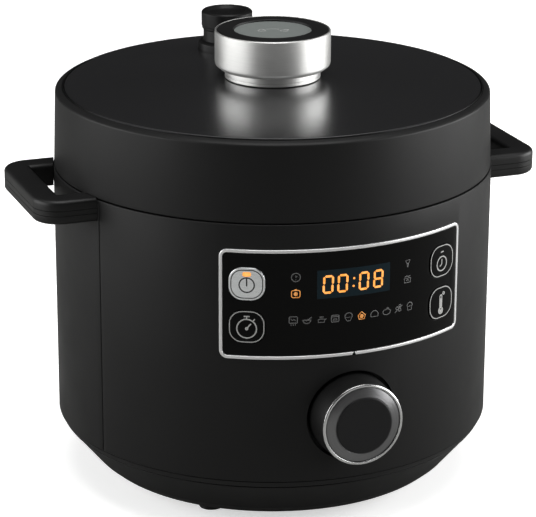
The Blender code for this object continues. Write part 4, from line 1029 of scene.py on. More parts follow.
@dataclass(frozen=True)
class Paper(Finish):
    """Seamless paper, lit to white where it is seen while it throws little light back on the object."""

    bounce: str = "#9a9a98"
    glow: float = 0.55
    tooth: float = 1.5

    def texture(self, tree: bpy.types.NodeTree, shader: bpy.types.Node) -> None:
        """Add the tooth of the fibres and the even light on the paper."""
        seen = add(tree, "ShaderNodeLightPath").outputs["Is Camera Ray"]
        tree.links.new(self.blend(tree, seen, self.bounce, self.colour), shader.inputs["Base Color"])
        tree.links.new(maths(tree, "MULTIPLY", seen, self.glow), shader.inputs["Emission Strength"])
        shader.inputs["Emission Color"].default_value = linear("#ffffff")
        grain_noise = add(
            tree, "ShaderNodeTexNoise",
            {"Vector": self.place(tree), "Scale": per_mm(self.tooth), "Detail": 2.0},
        ).outputs[0]
        self.bump(tree, shader, grain_noise, 0.02)


# ABS moulded in a spark-eroded mould: deep black, dull, with a broad soft highlight.
BLACK_ABS = Moulded("black_abs_eroded", "matte_black", "#151515", 0.47, specular=0.19)
# The same plastic on the handles, worn slightly smoother by hands.
HANDLE_ABS = Moulded("black_abs_handle", "matte_black", "#0d0d0d", 0.45, specular=0.32)
# Polyamide of the steam valve: a finer grain and a little more gloss.
VALVE_NYLON = Moulded("black_polyamide_valve", "matte_black", "#0e0e0e", 0.40, specular=0.16, grain=0.3)
# Aluminium sheet, finely turned and black anodised: a dark satin mirror, its rings hardly seen.
LID_ANODISED = Brushed(
    "black_anodised_aluminium_lid", "satin_plate", "#8a8a8b", 0.26, scratch=0.3, depth=0.0001,
    spread=0.02, contrast=0.03,
)
# Cast acrylic over black ink: deep gloss.
FASCIA = Glossy("black_acrylic_fascia", "gloss_black", "#030303", 0.10, ior=1.49, specular=0.12)
# The same acrylic over the display's window, tinted blue-green.
DISPLAY_TINT = Glossy("tinted_acrylic_window", "gloss_black", "#142127", 0.12, ior=1.49, specular=0.1)
# Chromed and satin-brushed ABS frame, scratches running round the body.
FRAME_SATIN = Brushed(
    "satin_chrome_frame", "brushed_silver", "#eeeeee", 0.34, lay=Lay.LEVEL,
    scratch=0.35, depth=0.003, metallic=0.75,
)
# Turned and brushed aluminium of the knob: scratches run round it, so highlights are upright bands.
KNOB_ALUMINIUM = Brushed(
    "brushed_aluminium_knob", "brushed_silver", "#cfcfcd", 0.50, scratch=0.3, depth=0.003, stretch=0.4
)
# Diamond-cut aluminium edge rings: brighter than the brushed faces.
BRIGHT_CUT = Brushed(
    "diamond_cut_aluminium", "brushed_silver", "#dededd", 0.20, scratch=0.3, depth=0.002, spread=0.06,
)
DIAL_AXIS = (0.0, 0.0, 87.5)
DIAL_CUT = Brushed(
    "diamond_cut_aluminium_dial", "brushed_silver", "#d8d8d8", 0.24, lay=Lay.ROUND_DIAL, scratch=0.3,
    depth=0.002, spread=0.06, centre=DIAL_AXIS,
)
# Painted disc with a circular brushed lay under clear lacquer.
GREY_DISC = Brushed(
    "grey_lacquered_disc", "grey_disc", "#9ba19e", 0.38, scratch=0.3, depth=0.002, spread=0.08, contrast=0.08,
    metallic=0.55,
)
DIAL_DISC = Brushed(
    "dark_brushed_dial", "grey_disc", "#7c7c7d", 0.34, lay=Lay.ROUND_DIAL, scratch=0.3, depth=0.002,
    spread=0.08, contrast=0.2, metallic=0.9, centre=DIAL_AXIS, stretch=0.6,
)
# Matt black lacquer on the dial's centre, still with a trace of the turning under it.
DIAL_CENTRE = Brushed(
    "matt_lacquered_centre", "grey_disc", "#161617", 0.42, lay=Lay.ROUND_DIAL, scratch=0.4, depth=0.002,
    spread=0.05, contrast=0.1, metallic=0.0, centre=DIAL_AXIS, specular=0.2,
)
# Stainless sheet, spun: fine rings round the axis.
SPUN_STEEL = Brushed("spun_stainless_steel", "stainless", "#c4c4c2", 0.26, scratch=0.6, depth=0.004)
VALVE_STEEL = Brushed(
    "turned_stainless_steel", "stainless", "#c4c4c2", 0.24, scratch=0.3, depth=0.003, centre=(0, 92.5, 0),
)
# Zinc-plated steel: duller and bluish, with the clouds of the plating bath.
ZINC = Speckled(
    "zinc_plated_steel", "zinc", "#8e9196", 0.38, metallic=1.0, fleck="#a3a6ab", size=3.0, share=0.5,
    depth=0.004
)
# Aluminium pot with a sprayed ceramic non-stick coat: fine pale flecks.
POT_COAT = Speckled(
    "nonstick_ceramic_coat", "pot_coating", "#2a2a2b", 0.42, fleck="#6d6d6e", size=0.9, share=0.66
)
# Die-cast aluminium of the heating plate: bright and slightly grained.
CAST = Speckled(
    "die_cast_aluminium", "heater", "#a6a6a5", 0.5, metallic=1.0, fleck="#8f8f8e", size=0.8, share=0.55
)
SILICONE = Soft("food_grade_silicone", "silicone", "#cfcec6", 0.55, ior=1.41, scatter=0.25)
RUBBER = Soft("black_rubber", "rubber", "#101010", 0.75, mottle="#1a1a1a")
GREEN_BOARD = Board("solder_mask_board", "board", "#0f5a30", 0.45)
CUP_SAN = Clear("clear_san_cup", "clear_plastic", "#eef2f2", 0.06, ior=1.57)
# Screen-printed inks on the fascia.
GREY_INK = Moulded("grey_screen_ink", "brushed_silver", "#5e5e5e", 0.55, grain=0.2, depth=0.003)
WHITE_INK = Moulded("silver_screen_ink", "brushed_silver", "#a8a8a6", 0.5, grain=0.2, depth=0.003)
DARK_INK = Moulded("dark_screen_ink", "gloss_black", "#17181a", 0.5, grain=0.2, depth=0.003)
AMBER = Lit("amber_lamp", "gloss_black", "#f0922f", 0.4, glow=0.8)
AMBER_DIM = Lit("amber_symbol_lamp", "gloss_black", "#c97a2c", 0.4, glow=0.45)
# Nickel-plated brass pins of the inlet.
PIN_NICKEL = Speckled(
    "nickel_plated_brass", "zinc", "#c9c2b2", 0.25, metallic=1.0, fleck="#d6d0c2", size=2.0, share=0.5,
    depth=0.002
)
# Black thermoplastic of the appliance inlet.
INLET_PBT = Moulded("black_pbt_inlet", "matte_black", "#0e0e0e", 0.38, grain=0.3)
# Brushed steel of the power button: upright bands of light across its face.
BUTTON_STEEL = Brushed(
    "brushed_steel_button", "brushed_silver", "#f4f6f7", 0.30, lay=Lay.LEVEL,
    scratch=0.3, depth=0.002, metallic=0.8,
)
# Anodised ring let in round the plate: dark, with a thin highlight along its edge.
EDGE_RING = Brushed(
    "black_anodised_edge_ring", "satin_plate", "#2e2e2f", 0.34, scratch=0.3, depth=0.002, spread=0.06,
)
# Matt seamless paper: nearly white, with the faint tooth of its fibres.
FLOOR_PAPER = Paper("seamless_paper", "matte_black", "#f4f4f3", 0.9, specular=0.1)


# Body ----------------------------------------------------------------------------------------


@dataclass
class BodyShell:
    """Base pan, front and rear shell, feet and base screws."""

    wall: float = 2.5
    seam: float = 69.5  # bearing of the seams between the shells
    seam_gap: float = 0.45
    seam_edge: float = 0.55  # rounding of the shells' edges at the seams
    pan_rise: float = 7.0
    vent: tuple[float, float] = (26.0, 4.0)
    vent_circle: float = 62.0
    foot_circle: float = 99.0
    screw_circle: float = 85.0
    well_radius: float = 31.0
    well_floor: float = 141.5
    opening: tuple[float, float] = (177.6, 5.8)  # width and corner of the panel's opening
    spout_height: float = 192.6
    inlet_height: float = 76.0
    dial_height: float = DIAL_AXIS[2]

    def build(self) -> None:
        """Make every piece of the body's outside."""
        self.pan()
        self.feet()
        self.screws()
        self.front()
        self.rear()

    def pan(self) -> bpy.types.Object:
        """Cone-sided pan with a groove under its upper band and slots in its floor."""
        radius, inner = BODY_RADIUS, BODY_RADIUS - self.wall
        top = heights("base_pan")[1]
        floor = self.pan_rise + self.wall
        pan = Solid.turned(
            [
                (0, self.pan_rise), (radius - 35.9, self.pan_rise, 8), (radius - 29.4, 9.4, 10),
                (radius - 22.8, 15.0, 12), (radius - 5.6, 35.8, 9), (radius - 3.4, 38.2, 0.4),
                (radius - 4.0, 38.5, 0.2), (radius - 4.0, 39.1, 0.2), (radius - 2.6, 39.3, 0.5),
                (radius - 0.4, top, 0.5), (inner - 0.5, top), (inner - 3.5, 39.8),
                (inner - 22.4, 16.8, 6), (radius - 35.9, floor, 6), (0, floor),
            ],
            edge=0.3,
        )
        low, high = self.pan_rise - 1, floor + 1
        slot = Solid.slab([rounded_rectangle(self.vent, self.vent[1] / 2 - 0.01)], low, high)
        ring = []
        for number in range(6):
            angle = math.tau * (number + 0.5) / 6
            spot = shifted(self.vent_circle * math.cos(angle), self.vent_circle * math.sin(angle))
            ring.append(spot @ Matrix.Rotation(angle, 4, "Z"))
        pan = pan.cut(slot.copied(ring))
        pan = pan.cut(Solid.rod(3.9, low, high).copied(self.foot_places()))
        pan = pan.cut(Solid.rod(2.4, low, high).copied(self.screw_places()))
        return pan.settle("base_pan_fine", BLACK_ABS, "base", "base_pan")

    def foot_places(self) -> list[Matrix]:
        """Places of the four feet."""
        return [shifted(*on_circle(self.foot_circle, bearing)) for bearing in (-45, 45, 135, 225)]

    def screw_places(self) -> list[Matrix]:
        """Places of the three base screws."""
        return [shifted(*on_circle(self.screw_circle, bearing)) for bearing in (60, 180, 300)]

    def feet(self) -> bpy.types.Object:
        """Four rubber feet with a dished sole, on one mesh."""
        under = self.pan_rise - 0.3
        foot = Solid.turned(
            [
                (0, 0.5), (4.6, 0.5, 0.5), (5.2, 0, 0.3), (8.4, 0, 0.8), (9, under), (3.5, under),
                (3.5, under + 4), (0, under + 4)
            ],
            PLAIN, 0.4,
        )
        nodes = [f"foot_{number}" for number in range(1, 5)]
        return foot.copied(self.foot_places()).settle("rubber_feet", RUBBER, "base", *nodes)

    def screws(self) -> bpy.types.Object:
        """Three pan-head screws with a cross recess, on one mesh."""
        under = self.pan_rise - 0.3
        end = heights("base_screw_1")[1]
        screw = Solid.turned(
            [
                (0, under - 2.3), (4.2, under - 2.3, 1.2), (4.5, under), (2, under), (2, end), (0, end)
            ], PLAIN, 0.2
        )
        for half in ((2.3, 0.45), (0.45, 2.3)):
            screw = screw.cut(Solid.block((-half[0], -half[1], 0), (half[0], half[1], under - 1.1), edge=0))
        nodes = [f"base_screw_{number}" for number in range(1, 4)]
        return screw.copied(self.screw_places()).settle("base_screws", ZINC, "base", *nodes)

    def shell(self, start: float, sweep: float, facets: int) -> Solid:
        """Part of the wall between two bearings, with its edges rounded."""
        inner = BODY_RADIUS - self.wall
        low, high = heights("front_shell")
        wall = Solid.turned(
            [(inner, low), (BODY_RADIUS, low), (BODY_RADIUS, high), (inner, high)],
            facets, 0, start, sweep,
        )
        return wall.rounded(self.seam_edge, 60, 3)

    def front(self) -> bpy.types.Object:
        """Front wall with the panel's opening and the well of the dial."""
        gap = math.degrees(self.seam_gap / 2 / BODY_RADIUS)
        span = self.seam - gap
        shell = self.shell(-span, 2 * span, 96)
        panel_low, panel_high = heights("panel_frame")
        middle = (panel_low + panel_high) / 2
        width, corner = self.opening
        size = (width, panel_high - panel_low + 0.6)
        opening = Solid.slab([rounded_rectangle(size, corner)], BODY_RADIUS - 6, BODY_RADIUS + 6)
        shell = shell.cut(opening.bent(middle))
        axis = facing(0, self.dial_height)
        radius, wall, floor = self.well_radius, 2.0, self.well_floor
        well = Solid.turned(
            [
                (4.4, floor - wall), (radius + wall, floor - wall), (radius + wall, BODY_RADIUS + 8),
                (radius, BODY_RADIUS + 8), (radius, floor), (4.4, floor),
            ],
            NEAT, 0,
        ).moved(axis)
        core = Solid.turned(
            [
                (BODY_RADIUS - 30, 45), (BODY_RADIUS - 1, 45), (BODY_RADIUS - 1, 140),
                (BODY_RADIUS - 30, 140)
            ], FINE, 0
        )
        well = well.combined("INTERSECT", [core])
        shell = shell.cut(Solid.rod(radius + 0.01, BODY_RADIUS - 20, BODY_RADIUS + 8, NEAT).moved(axis))
        return shell.joined(well).settle("front_shell_fine", BLACK_ABS, "base", "front_shell")

    def rear(self) -> bpy.types.Object:
        """Rear wall with the cup's hood and rails, the spout hole and the inlet's opening."""
        gap = math.degrees(self.seam_gap / 2 / BODY_RADIUS)
        start = self.seam + gap
        shell = self.shell(start, 360 - 2 * start, 120)
        cup_low, cup_high = corners("condensation_cup")
        hood_top = self.spout_height + 4.0 + 0.4 + 2.5
        back = cup_high.y - 0.3
        inside = BODY_RADIUS - 9
        hood = Solid.block((-35, inside, cup_high.z + 0.4), (35, back, hood_top), edge=1.2, corner=3.0)
        hollow = Solid.block(
            (
                -32.5, BODY_RADIUS + 0.5, cup_high.z - 3
            ), (32.5, back - 2.5, hood_top - 2.5), edge=0.5, corner=2.0
        )
        hood = hood.cut(hollow)
        core = Solid.rod(BODY_RADIUS - 1.2, 30, BODY_TOP + 5, FINE)
        shell = shell.joined(hood.cut(core))
        rail_top = cup_high.z - 2.3
        for low, high in ((32.4, 36.4), (-36.4, -32.4)):
            rail = Solid.block((low, inside, rail_top - 3.5), (high, BODY_RADIUS + 14, rail_top), edge=0.5)
            rail_core = Solid.rod(BODY_RADIUS - 1.2, 30, BODY_TOP + 5, FINE)
            shell = shell.joined(rail.cut(rail_core))
        spout = facing(180, self.spout_height)
        shell = shell.cut(Solid.rod(4.4, BODY_RADIUS - 12, BODY_RADIUS + 2).moved(spout))
        inlet = facing(180, self.inlet_height)
        opening = Solid.block((-14.9, -11.1, BODY_RADIUS - 15), (14.9, 11.1, BODY_RADIUS + 5), edge=0)
        shell = shell.cut(opening.moved(inlet))
        return shell.settle("rear_shell_fine", BLACK_ABS, "base", "rear_shell")


@dataclass
class Handles:
    """A square loop on each side, swept from one bar and cut to the wall."""

    reach: float = 30.2
    half_length: float = 52.0
    bar: float = 17.6
    corner: float = 18.0
    groove: float = 0.35

    def section(self, thick: float) -> list[Point]:
        """Section of the bar: soft edges, with two fine parting grooves on its outer side."""
        wide, edge, cut = self.bar / 2, 3.0, self.groove
        points = arc((wide - edge, thick / 2 - edge), (edge, edge), 0, 90, 5)
        points += arc((-wide + edge, thick / 2 - edge), (edge, edge), 90, 180, 5)
        points += arc((-wide + edge, -thick / 2 + edge), (edge, edge), 180, 270, 5)
        points += arc((wide - edge, -thick / 2 + edge), (edge, edge), 270, 360, 5)
        for level in (-1.3, 2.2):
            points += [(wide, level - cut / 2), (wide - cut, level), (wide, level + cut / 2)]
        return points

    def build(self) -> None:
        """Make both handles."""
        outer = BODY_RADIUS + self.reach - self.bar / 2
        tall = self.half_length - self.bar / 2
        bend = self.corner - self.bar / 2
        low, high = heights("handle_right")
        path = [(BODY_RADIUS - 22, -tall)]
        path += arc((outer - bend, -tall + bend), (bend, bend), -90, 0, 16)
        path += arc((outer - bend, tall - bend), (bend, bend), 0, 90, 16)
        path += [(BODY_RADIUS - 22, tall)]
        for name, turn in (("handle_right", 0.0), ("handle_left", math.pi)):
            outline = self.section(high - low)
            loop = [(step, (step + 1) % len(outline)) for step in range(len(outline))]
            section = bpy.data.objects.new("section", carrier_of(outline, loop))
            bpy.context.scene.collection.objects.link(section)
            steps = [(step, step + 1) for step in range(len(path) - 1)]
            bar = Solid(SWEEPING.run(carrier_of(path, steps), Section=section))
            discard(section)
            bar = bar.moved(shifted(0, 0, (low + high) / 2))
            bar = bar.cut(Solid.rod(BODY_RADIUS + 0.3, 150, 300, FINE))
            bar = bar.moved(Matrix.Rotation(turn, 4, "Z"))
            bar.settle(f"{name}_fine", HANDLE_ABS, "base", name, sharp=40)


@dataclass
class Vessel:
    """The deck round the opening, the locking flange, the pots and what heats them."""

    teeth: int = 6
    gap_angle: float = 34.0
    pot_radius: float = 112.0
    pot_wall: float = 1.5
    pot_corner: float = 14.0
    spring_radius: float = 8.0
    spring_wire: float = 0.8  # half the wire's thickness
    spring_turns: float = 4.0
    spring_travel: float = 3.0  # how far the sensor cup sinks

    def build(self) -> None:
        """Make what shows when the lid is open, and dress what stays hidden."""
        self.collar()
        self.flange()
        self.pot()
        dress("outer_pot", SPUN_STEEL)
        dress("heating_plate", CAST)
        dress("sensor_cup", SPUN_STEEL)
        self.spring()
        dress("power_board", GREEN_BOARD)
        dress("control_board", GREEN_BOARD)
        dress("display_module", FASCIA)

    def spring(self) -> bpy.types.Object:
        """Spring under the sensor cup."""
        low, high = heights("sensor_spring")
        coil = Solid.coil(self.spring_radius, self.spring_wire, self.spring_turns, low, high)
        piece = coil.settle("sensor_spring_fine", ZINC, "base", "sensor_spring")
        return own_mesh(piece)

    def collar(self) -> bpy.types.Object:
        """Deck with the drip channel, and the spout to the cup."""
        low, high = 206.5, BODY_TOP - 0.8
        floor, inner, outer = low + 2.5, 128.2, 147.3
        lip = 215.9
        collar = Solid.turned(
            [
                (inner, low), (outer, low), (outer, high), (outer - 2.5, high), (outer - 2.5, floor, 1.5),
                (inner + 2.5, floor, 1.5), (inner + 2.5, lip), (inner, lip),
            ],
            edge=0.6,
        )
        middle, height, radius = (inner + outer) / 2, 192.6, 4.0
        fall = Solid.rod(radius, height - 0.8 * radius, floor - 0.5).moved(shifted(0, middle))
        run = Solid.rod(radius, middle - 0.7 * radius, BODY_RADIUS + 10).moved(facing(180, height))
        collar = collar.joined(fall, run)
        down = Solid.rod(2.6, height - 1.5, floor + 1).moved(shifted(0, middle))
        out = Solid.rod(2.34, middle - 1, BODY_RADIUS + 11).moved(facing(180, height))
        return collar.cut(down, out).settle("top_collar_fine", BLACK_ABS, "base", "top_collar")

    def flange(self) -> bpy.types.Object:
        """Steel ring with inward teeth, stamped from sheet."""
        low, top = heights("locking_flange")
        bore, inner, outer, tooth = 118.5, 125.0, 127.0, 2.7
        ring = Solid.turned(
            [
                (inner, low), (outer, low), (outer, top - 2), (outer + 4, top - 2), (outer + 4, top),
                (bore, top), (bore, top - tooth), (inner, top - tooth),
            ],
            edge=0.5,
        )
        gap = Solid.turned(
            [
                (bore - 3, top - tooth - 1), (inner - 0.4, top - tooth - 1), (inner - 0.4, top + 1),
                (bore - 3, top + 1)
            ],
            16, 0, -self.gap_angle / 2, self.gap_angle,
        )
        return ring.cut(gap.copied(turned_round(self.teeth))).settle(
            "locking_flange_fine", SPUN_STEEL, "base", "locking_flange"
        )

    def pot(self) -> None:
        """Pot with a rounded corner and a turned-out rim, and its fill marks."""
        low, top = heights("inner_pot")
        radius, wall, corner = self.pot_radius, self.pot_wall, self.pot_corner
        outer = arc((radius - corner, low + corner), (corner, corner), -90, 0, 12)
        bend = corner - wall
        inner = arc((radius - corner, low + corner), (bend, bend), 0, -90, 12)
        rest = [
            (radius, top - 2, 0.8), (radius + 5, top - 2, 0.9), (radius + 5, top, 0.9),
            (radius - wall, top, 1.2)
        ]
        Solid.turned(
            [
                (0, low), *((*point, 0) for point in outer), *rest, *((*point, 0) for point in inner),
                (0, low + wall)
            ],
            edge=0.5,
        ).settle("inner_pot_fine", POT_COAT, "base", "inner_pot")
        face = radius - wall - 0.02
        marks = []
        for step in range(9):
            half = math.degrees((7.0 if step % 2 == 0 else 3.5) / face)
            height = low + 24 + 12 * step
            outline = [
                (face - 0.1, height - 0.35), (face, height - 0.35), (face, height + 0.35),
                (face - 0.1, height + 0.35)
            ]
            marks.append(Solid.turned(outline, 12, 0, -half, 2 * half))
        marks[0].with_(*marks[1:]).settle("pot_fill_marks", WHITE_INK, "base")


# Control panel and dial ----------------------------------------------------------------------


def ring(
    x: float, y: float, wide: float, tall: float | None = None, start: float = 0, end: float = 360
) -> list[Point]:
    """Stroke along a circle or an ellipse, or a part of it."""
    return arc((x, y), (wide, tall or wide), start, end, 20)


def closed(points: Sequence[Point]) -> list[Point]:
    """Stroke that ends where it starts."""
    return [*points, points[0]]


class Symbol(Enum):
    """Generic symbols of the panel, as strokes in millimetres about their middle."""

    GRILL = (
        closed(rounded_rectangle((4.6, 3.8), 0.6, (0, 0.6))), [
            (-1.4, 1.4), (-0.4, 0.2), (0.4, 1.0), (1.4, 0.0)
        ],
        [(-1.2, -2.0), (-1.2, -2.7)], [(0, -2.0), (0, -2.7)], [(1.2, -2.0), (1.2, -2.7)],
    )
    LADLE = (ring(-0.3, 0.2, 2.2, 2.0, 180, 360), [(-2.9, 0.2), (2.1, 0.2)], [(-0.6, -0.3), (2.6, 2.0)])
    STEAMER = (
        [(-1.8, -1.6), (1.8, -1.6), (1.8, 0.2), (-1.8, 0.2), (-1.8, -1.6)], [(1.8, -0.2), (3.0, 0.4)],
        [(-0.9, 1.0), (0.9, 1.0), (0.9, 1.7), (-0.9, 1.7), (-0.9, 1.0)],
    )
    OVEN = (
        closed(rounded_rectangle((4.4, 4.0), 0.5)), [(-2.2, 1.1), (2.2, 1.1)],
        [(-1.3, -1.1), (-0.7, -0.2), (0.7, -0.2), (1.3, -1.1), (-1.3, -1.1)],
    )
    BOWL = (
        ring(0, 0.6, 2.2, 2.0, -20, 200),
        [(-2.1, -0.1), (-0.9, -2.2), (0.9, -2.2), (2.1, -0.1), (-2.1, -0.1)]
    )
    HOUSE = (
        [(-2.2, 0.3), (0, 2.3), (2.2, 0.3), (1.6, -2.1), (-1.6, -2.1), (-2.2, 0.3)],
        ring(0, -0.3, 0.9), [(0, 0.4), (0, -1.0)], [(-0.7, -0.3), (0.7, -0.3)],
    )
    LOAF = (ring(0, -1.0, 2.4, 2.8, 0, 180), [(-2.4, -1.0), (-2.2, -1.8), (2.2, -1.8), (2.4, -1.0)])
    EGG = (ring(0, -0.3, 2.5, 1.7), [(-0.2, 1.4), (0.6, 2.3), (1.3, 1.6)])
    LEAF = (
        [(-2.4, -1.8), (2.6, 1.9)], ring(-0.9, 0.4, 0.9), ring(0.9, -0.6, 0.9), ring(1.0, 1.7, 0.7),
    )
    CUPCAKE = (
        [(-1.3, -2.2), (1.3, -2.2), (1.7, 0.1), (-1.7, 0.1), (-1.3, -2.2)], ring(0, 0.7, 1.9, 1.7, -10, 190),
    )
    GAUGE = (ring(0, 0, 2.5), [(0, 1.2), (0, -0.2), (0.9, 0.7)], [(0, -1.4), (0, -1.0)])
    BADGE = (
        closed(rounded_rectangle((4.8, 4.2), 1.0)), [(-1.1, 0), (1.1, 0)], [(0, -1.1), (0, 1.1)],
        ring(0, 0, 0.9), [(-0.7, 2.1), (-0.4, 2.6), (0.4, 2.6), (0.7, 2.1)],
    )
    WHISK = (
        [(-1.6, 1.7), (1.6, 1.7), (0.6, -0.2), (-0.6, -0.2), (-1.6, 1.7)],
        [(-0.4, -0.6), (0.4, -0.6), (0.3, -2.3), (-0.3, -2.3), (-0.4, -0.6)]
    )
    STEWPOT = (
        [
            (-2.1, -1.9), (2.1, -1.9), (2.3, 0.7), (-2.3, 0.7), (-2.1, -1.9)
        ], [(-2.0, 1.6), (-0.7, 2.0), (0.7, 1.6), (2.0, 2.0)],
        [(-1.0, -0.8), (0.1, -0.1), (1.0, -0.9)],
    )
    STANDBY = (ring(0, -0.6, 4.9), [(0, 4.7), (0, -1.4)])
    STOPWATCH = (
        ring(0, -1.2, 6.4), [(0, -1.2), (2.7, 2.2)], ring(0, -1.2, 0.7), [(0, 5.3), (0, 7.0)],
        [(-1.9, 7.1), (1.9, 7.1)], [(4.2, 4.2), (5.3, 5.6)],
    )
    CLOCK = (ring(0, -1.9, 4.9), [(0, 1.3), (0, -2.2), (-2.0, -3.6)], [(-1.2, 6.0), (1.6, 6.3)])
    THERMOMETER = (
        ring(0, -5.6, 2.1, 2.1, 118, 422), [(-1.0, -3.8), (-1.0, 4.2)], ring(0, 4.2, 1.0, 1.0, 0, 180),
        [(1.0, 4.2), (1.0, -3.8)], ring(2.7, 5.9, 0.8),
    )


@dataclass
class ControlPanel:
    """Frame, fascia, display window, digits and printed symbols, all bent round the wall."""

    width: float = 177.0
    corner: float = 5.5
    bar: float = 2.2
    proud: float = 0.9
    fascia_proud: float = 0.4
    fascia_thick: float = 1.9
    notch: float = 2.0  # half the width of the pointer's notch in the lower bar
    button_size: tuple[float, float] = (23.6, 22.0)
    button_corner: float = 9.0
    digit: tuple[float, float] = (7.2, 12.4)
    stroke: float = 1.45
    enlarged: float = 1.14  # symbols beside and below the display
    button_inset: float = 18.1  # middle of a button from the panel's end
    window_size: tuple[float, float] = (50.6, 19.2)
    window_drop: float = 24.1  # below the panel's top
    digit_places: tuple[float, ...] = (-18.0, -8.3, 6.3, 16.6)
    symbol_step: float = 9.13

    def __post_init__(self) -> None:
        """Take the panel's height from the frame."""
        low, high = heights("panel_frame")
        self.low, self.high = low, high
        self.middle, self.height = (low + high) / 2, high - low
        self.face = BODY_RADIUS + self.fascia_proud

    def build(self) -> None:
        """Make every piece of the panel."""
        self.bezel()
        self.fascia()
        self.window()
        self.digits()
        self.symbols()

    def bezel(self) -> bpy.types.Object:
        """Satin frame whose lower bar has a small notch above the dial."""
        corner = self.corner - self.bar
        outside = rounded_rectangle((self.width, self.height), self.corner, steps=10)
        inside = (self.width - 2 * self.bar, self.height - 2 * self.bar)
        outer = BODY_RADIUS + self.proud
        frame_piece = Solid.slab(
            [outside, rounded_rectangle(inside, corner, steps=10)], outer - 3.6, outer, 0.55
        )
        half, low = self.notch, -self.height / 2
        notch = Solid.slab(
            [[(-half, low - 1), (half, low - 1), (0.3, low + self.bar + 0.2), (-0.3, low + self.bar + 0.2)]],
            outer - 4.5, outer + 1
        )
        frame_piece = frame_piece.cut(notch)
        return frame_piece.bent(self.middle).settle("panel_frame_fine", FRAME_SATIN, "base", "panel_frame")

    def button_spots(self) -> list[Point]:
        """Places of the buttons, across and up from the panel's middle."""
        spots = []
        for node in ("power_button", "timer_button", "delay_button", "temperature_button"):
            low, high = corners(node)
            side = (self.width / 2 - self.button_inset) * (-1 if low.x < 0 else 1)
            spots.append((side, (low.z + high.z) / 2 - self.middle))
        return spots

    def fascia(self) -> bpy.types.Object:
        """Gloss fascia with the button holes."""
        size = (self.width - 2 * self.bar - 0.5, self.height - 2 * self.bar - 0.5)
        loops = [rounded_rectangle(size, self.corner - self.bar, steps=10)]
        hole = (self.button_size[0] + 0.8, self.button_size[1] + 0.8)
        loops += [rounded_rectangle(hole, self.button_corner + 0.4, spot, 12) for spot in self.button_spots()]
        slab = Solid.slab(loops, self.face - self.fascia_thick, self.face, 0.15)
        return slab.bent(self.middle).settle("panel_fascia", FASCIA, "base", "panel_lens")

    def window(self) -> bpy.types.Object:
        """Tinted window in front of the display."""
        outline = rounded_rectangle(self.window_size, 0.5, (0, self.high - self.window_drop - self.middle))
        slab = Solid.slab([outline], self.face - 0.2, self.face + 0.03)
        return slab.bent(self.middle).settle("display_window", DISPLAY_TINT, "base")

    def digits(self) -> bpy.types.Object:
        """Four seven-segment digits and a colon: 00:08."""
        wide, tall = self.digit
        bar, slant = self.stroke, 0.06
        long_, up = wide - bar - 0.5, (tall - bar) / 2 - 0.45
        spots: list[Matrix] = []
        level, upright = Matrix.Rotation(0, 4, "Z"), Matrix.Rotation(math.pi / 2, 4, "Z")
        centre = self.high - 24.3 - self.middle
        segments = {
            "top": (0, 1, level), "middle": (0, 0, level), "foot": (0, -1, level), "upper_left": (
                -1, 0.5, upright
            ),
            "upper_right": (1, 0.5, upright), "lower_left": (
                -1, -0.5, upright
            ), "lower_right": (1, -0.5, upright),
        }
        for number, place in zip((0, 0, 0, 8), self.digit_places):
            for name, (x, y, turn) in segments.items():
                if number == 0 and name == "middle":
                    continue
                rise = y * (tall - bar) / 2
                spots.append(shifted(place + x * (wide - bar) / 2 + slant * rise, centre + rise) @ turn)
        half = long_ / 2
        outline = [
            (-half, 0), (-half + bar / 2, bar / 2), (half - bar / 2, bar / 2), (half, 0),
            (half - bar / 2, -bar / 2), (-half + bar / 2, -bar / 2)
        ]
        low, high = self.face + 0.02, self.face + 0.09
        lit = Solid.slab([outline], low, high).copied(spots)
        dots = [
            Solid.slab([arc((-0.8 + slant * y, centre + y), (0.75, 0.75), 0, 342, 19)], low, high)
            for y in (-2.6, 2.6)
        ]
        return lit.with_(*dots).bent(self.middle).settle("display_digits", AMBER, "base", sharp=60)

    def symbols(self) -> None:
        """Row of programme symbols and the four beside the display, one of each group lit."""
        row = (
            Symbol.GRILL, Symbol.LADLE, Symbol.STEAMER, Symbol.OVEN, Symbol.BOWL,
            Symbol.HOUSE, Symbol.LOAF, Symbol.EGG, Symbol.LEAF, Symbol.CUPCAKE,
        )
        first, height = -40.6, 156.2 - self.middle
        placed = [(symbol, first + self.symbol_step * number, height) for number, symbol in enumerate(row)]
        placed += [
            (Symbol.GAUGE, -39.1, 185.7 - self.middle), (Symbol.BADGE, -39.1, 174.5 - self.middle),
            (Symbol.WHISK, 39.3, 186.4 - self.middle), (Symbol.STEWPOT, 39.3, 175.2 - self.middle),
        ]
        lamps = (Symbol.HOUSE, Symbol.BADGE)
        for name, finish, chosen in (
            ("panel_symbols", GREY_INK, [item for item in placed if item[0] not in lamps]),
            ("panel_symbols_lit", AMBER_DIM, [item for item in placed if item[0] in lamps]),
        ):
            scale = self.enlarged
            strokes = [
                [(x * scale + side, y * scale + rise) for x, y in stroke]
                for symbol, side, rise in chosen for stroke in symbol.value
            ]
            printed = Solid.lines(strokes, 0.58).moved(shifted(0, 0, self.face + 0.02))
            printed.bent(self.middle).settle(name, finish, "base", sharp=60)


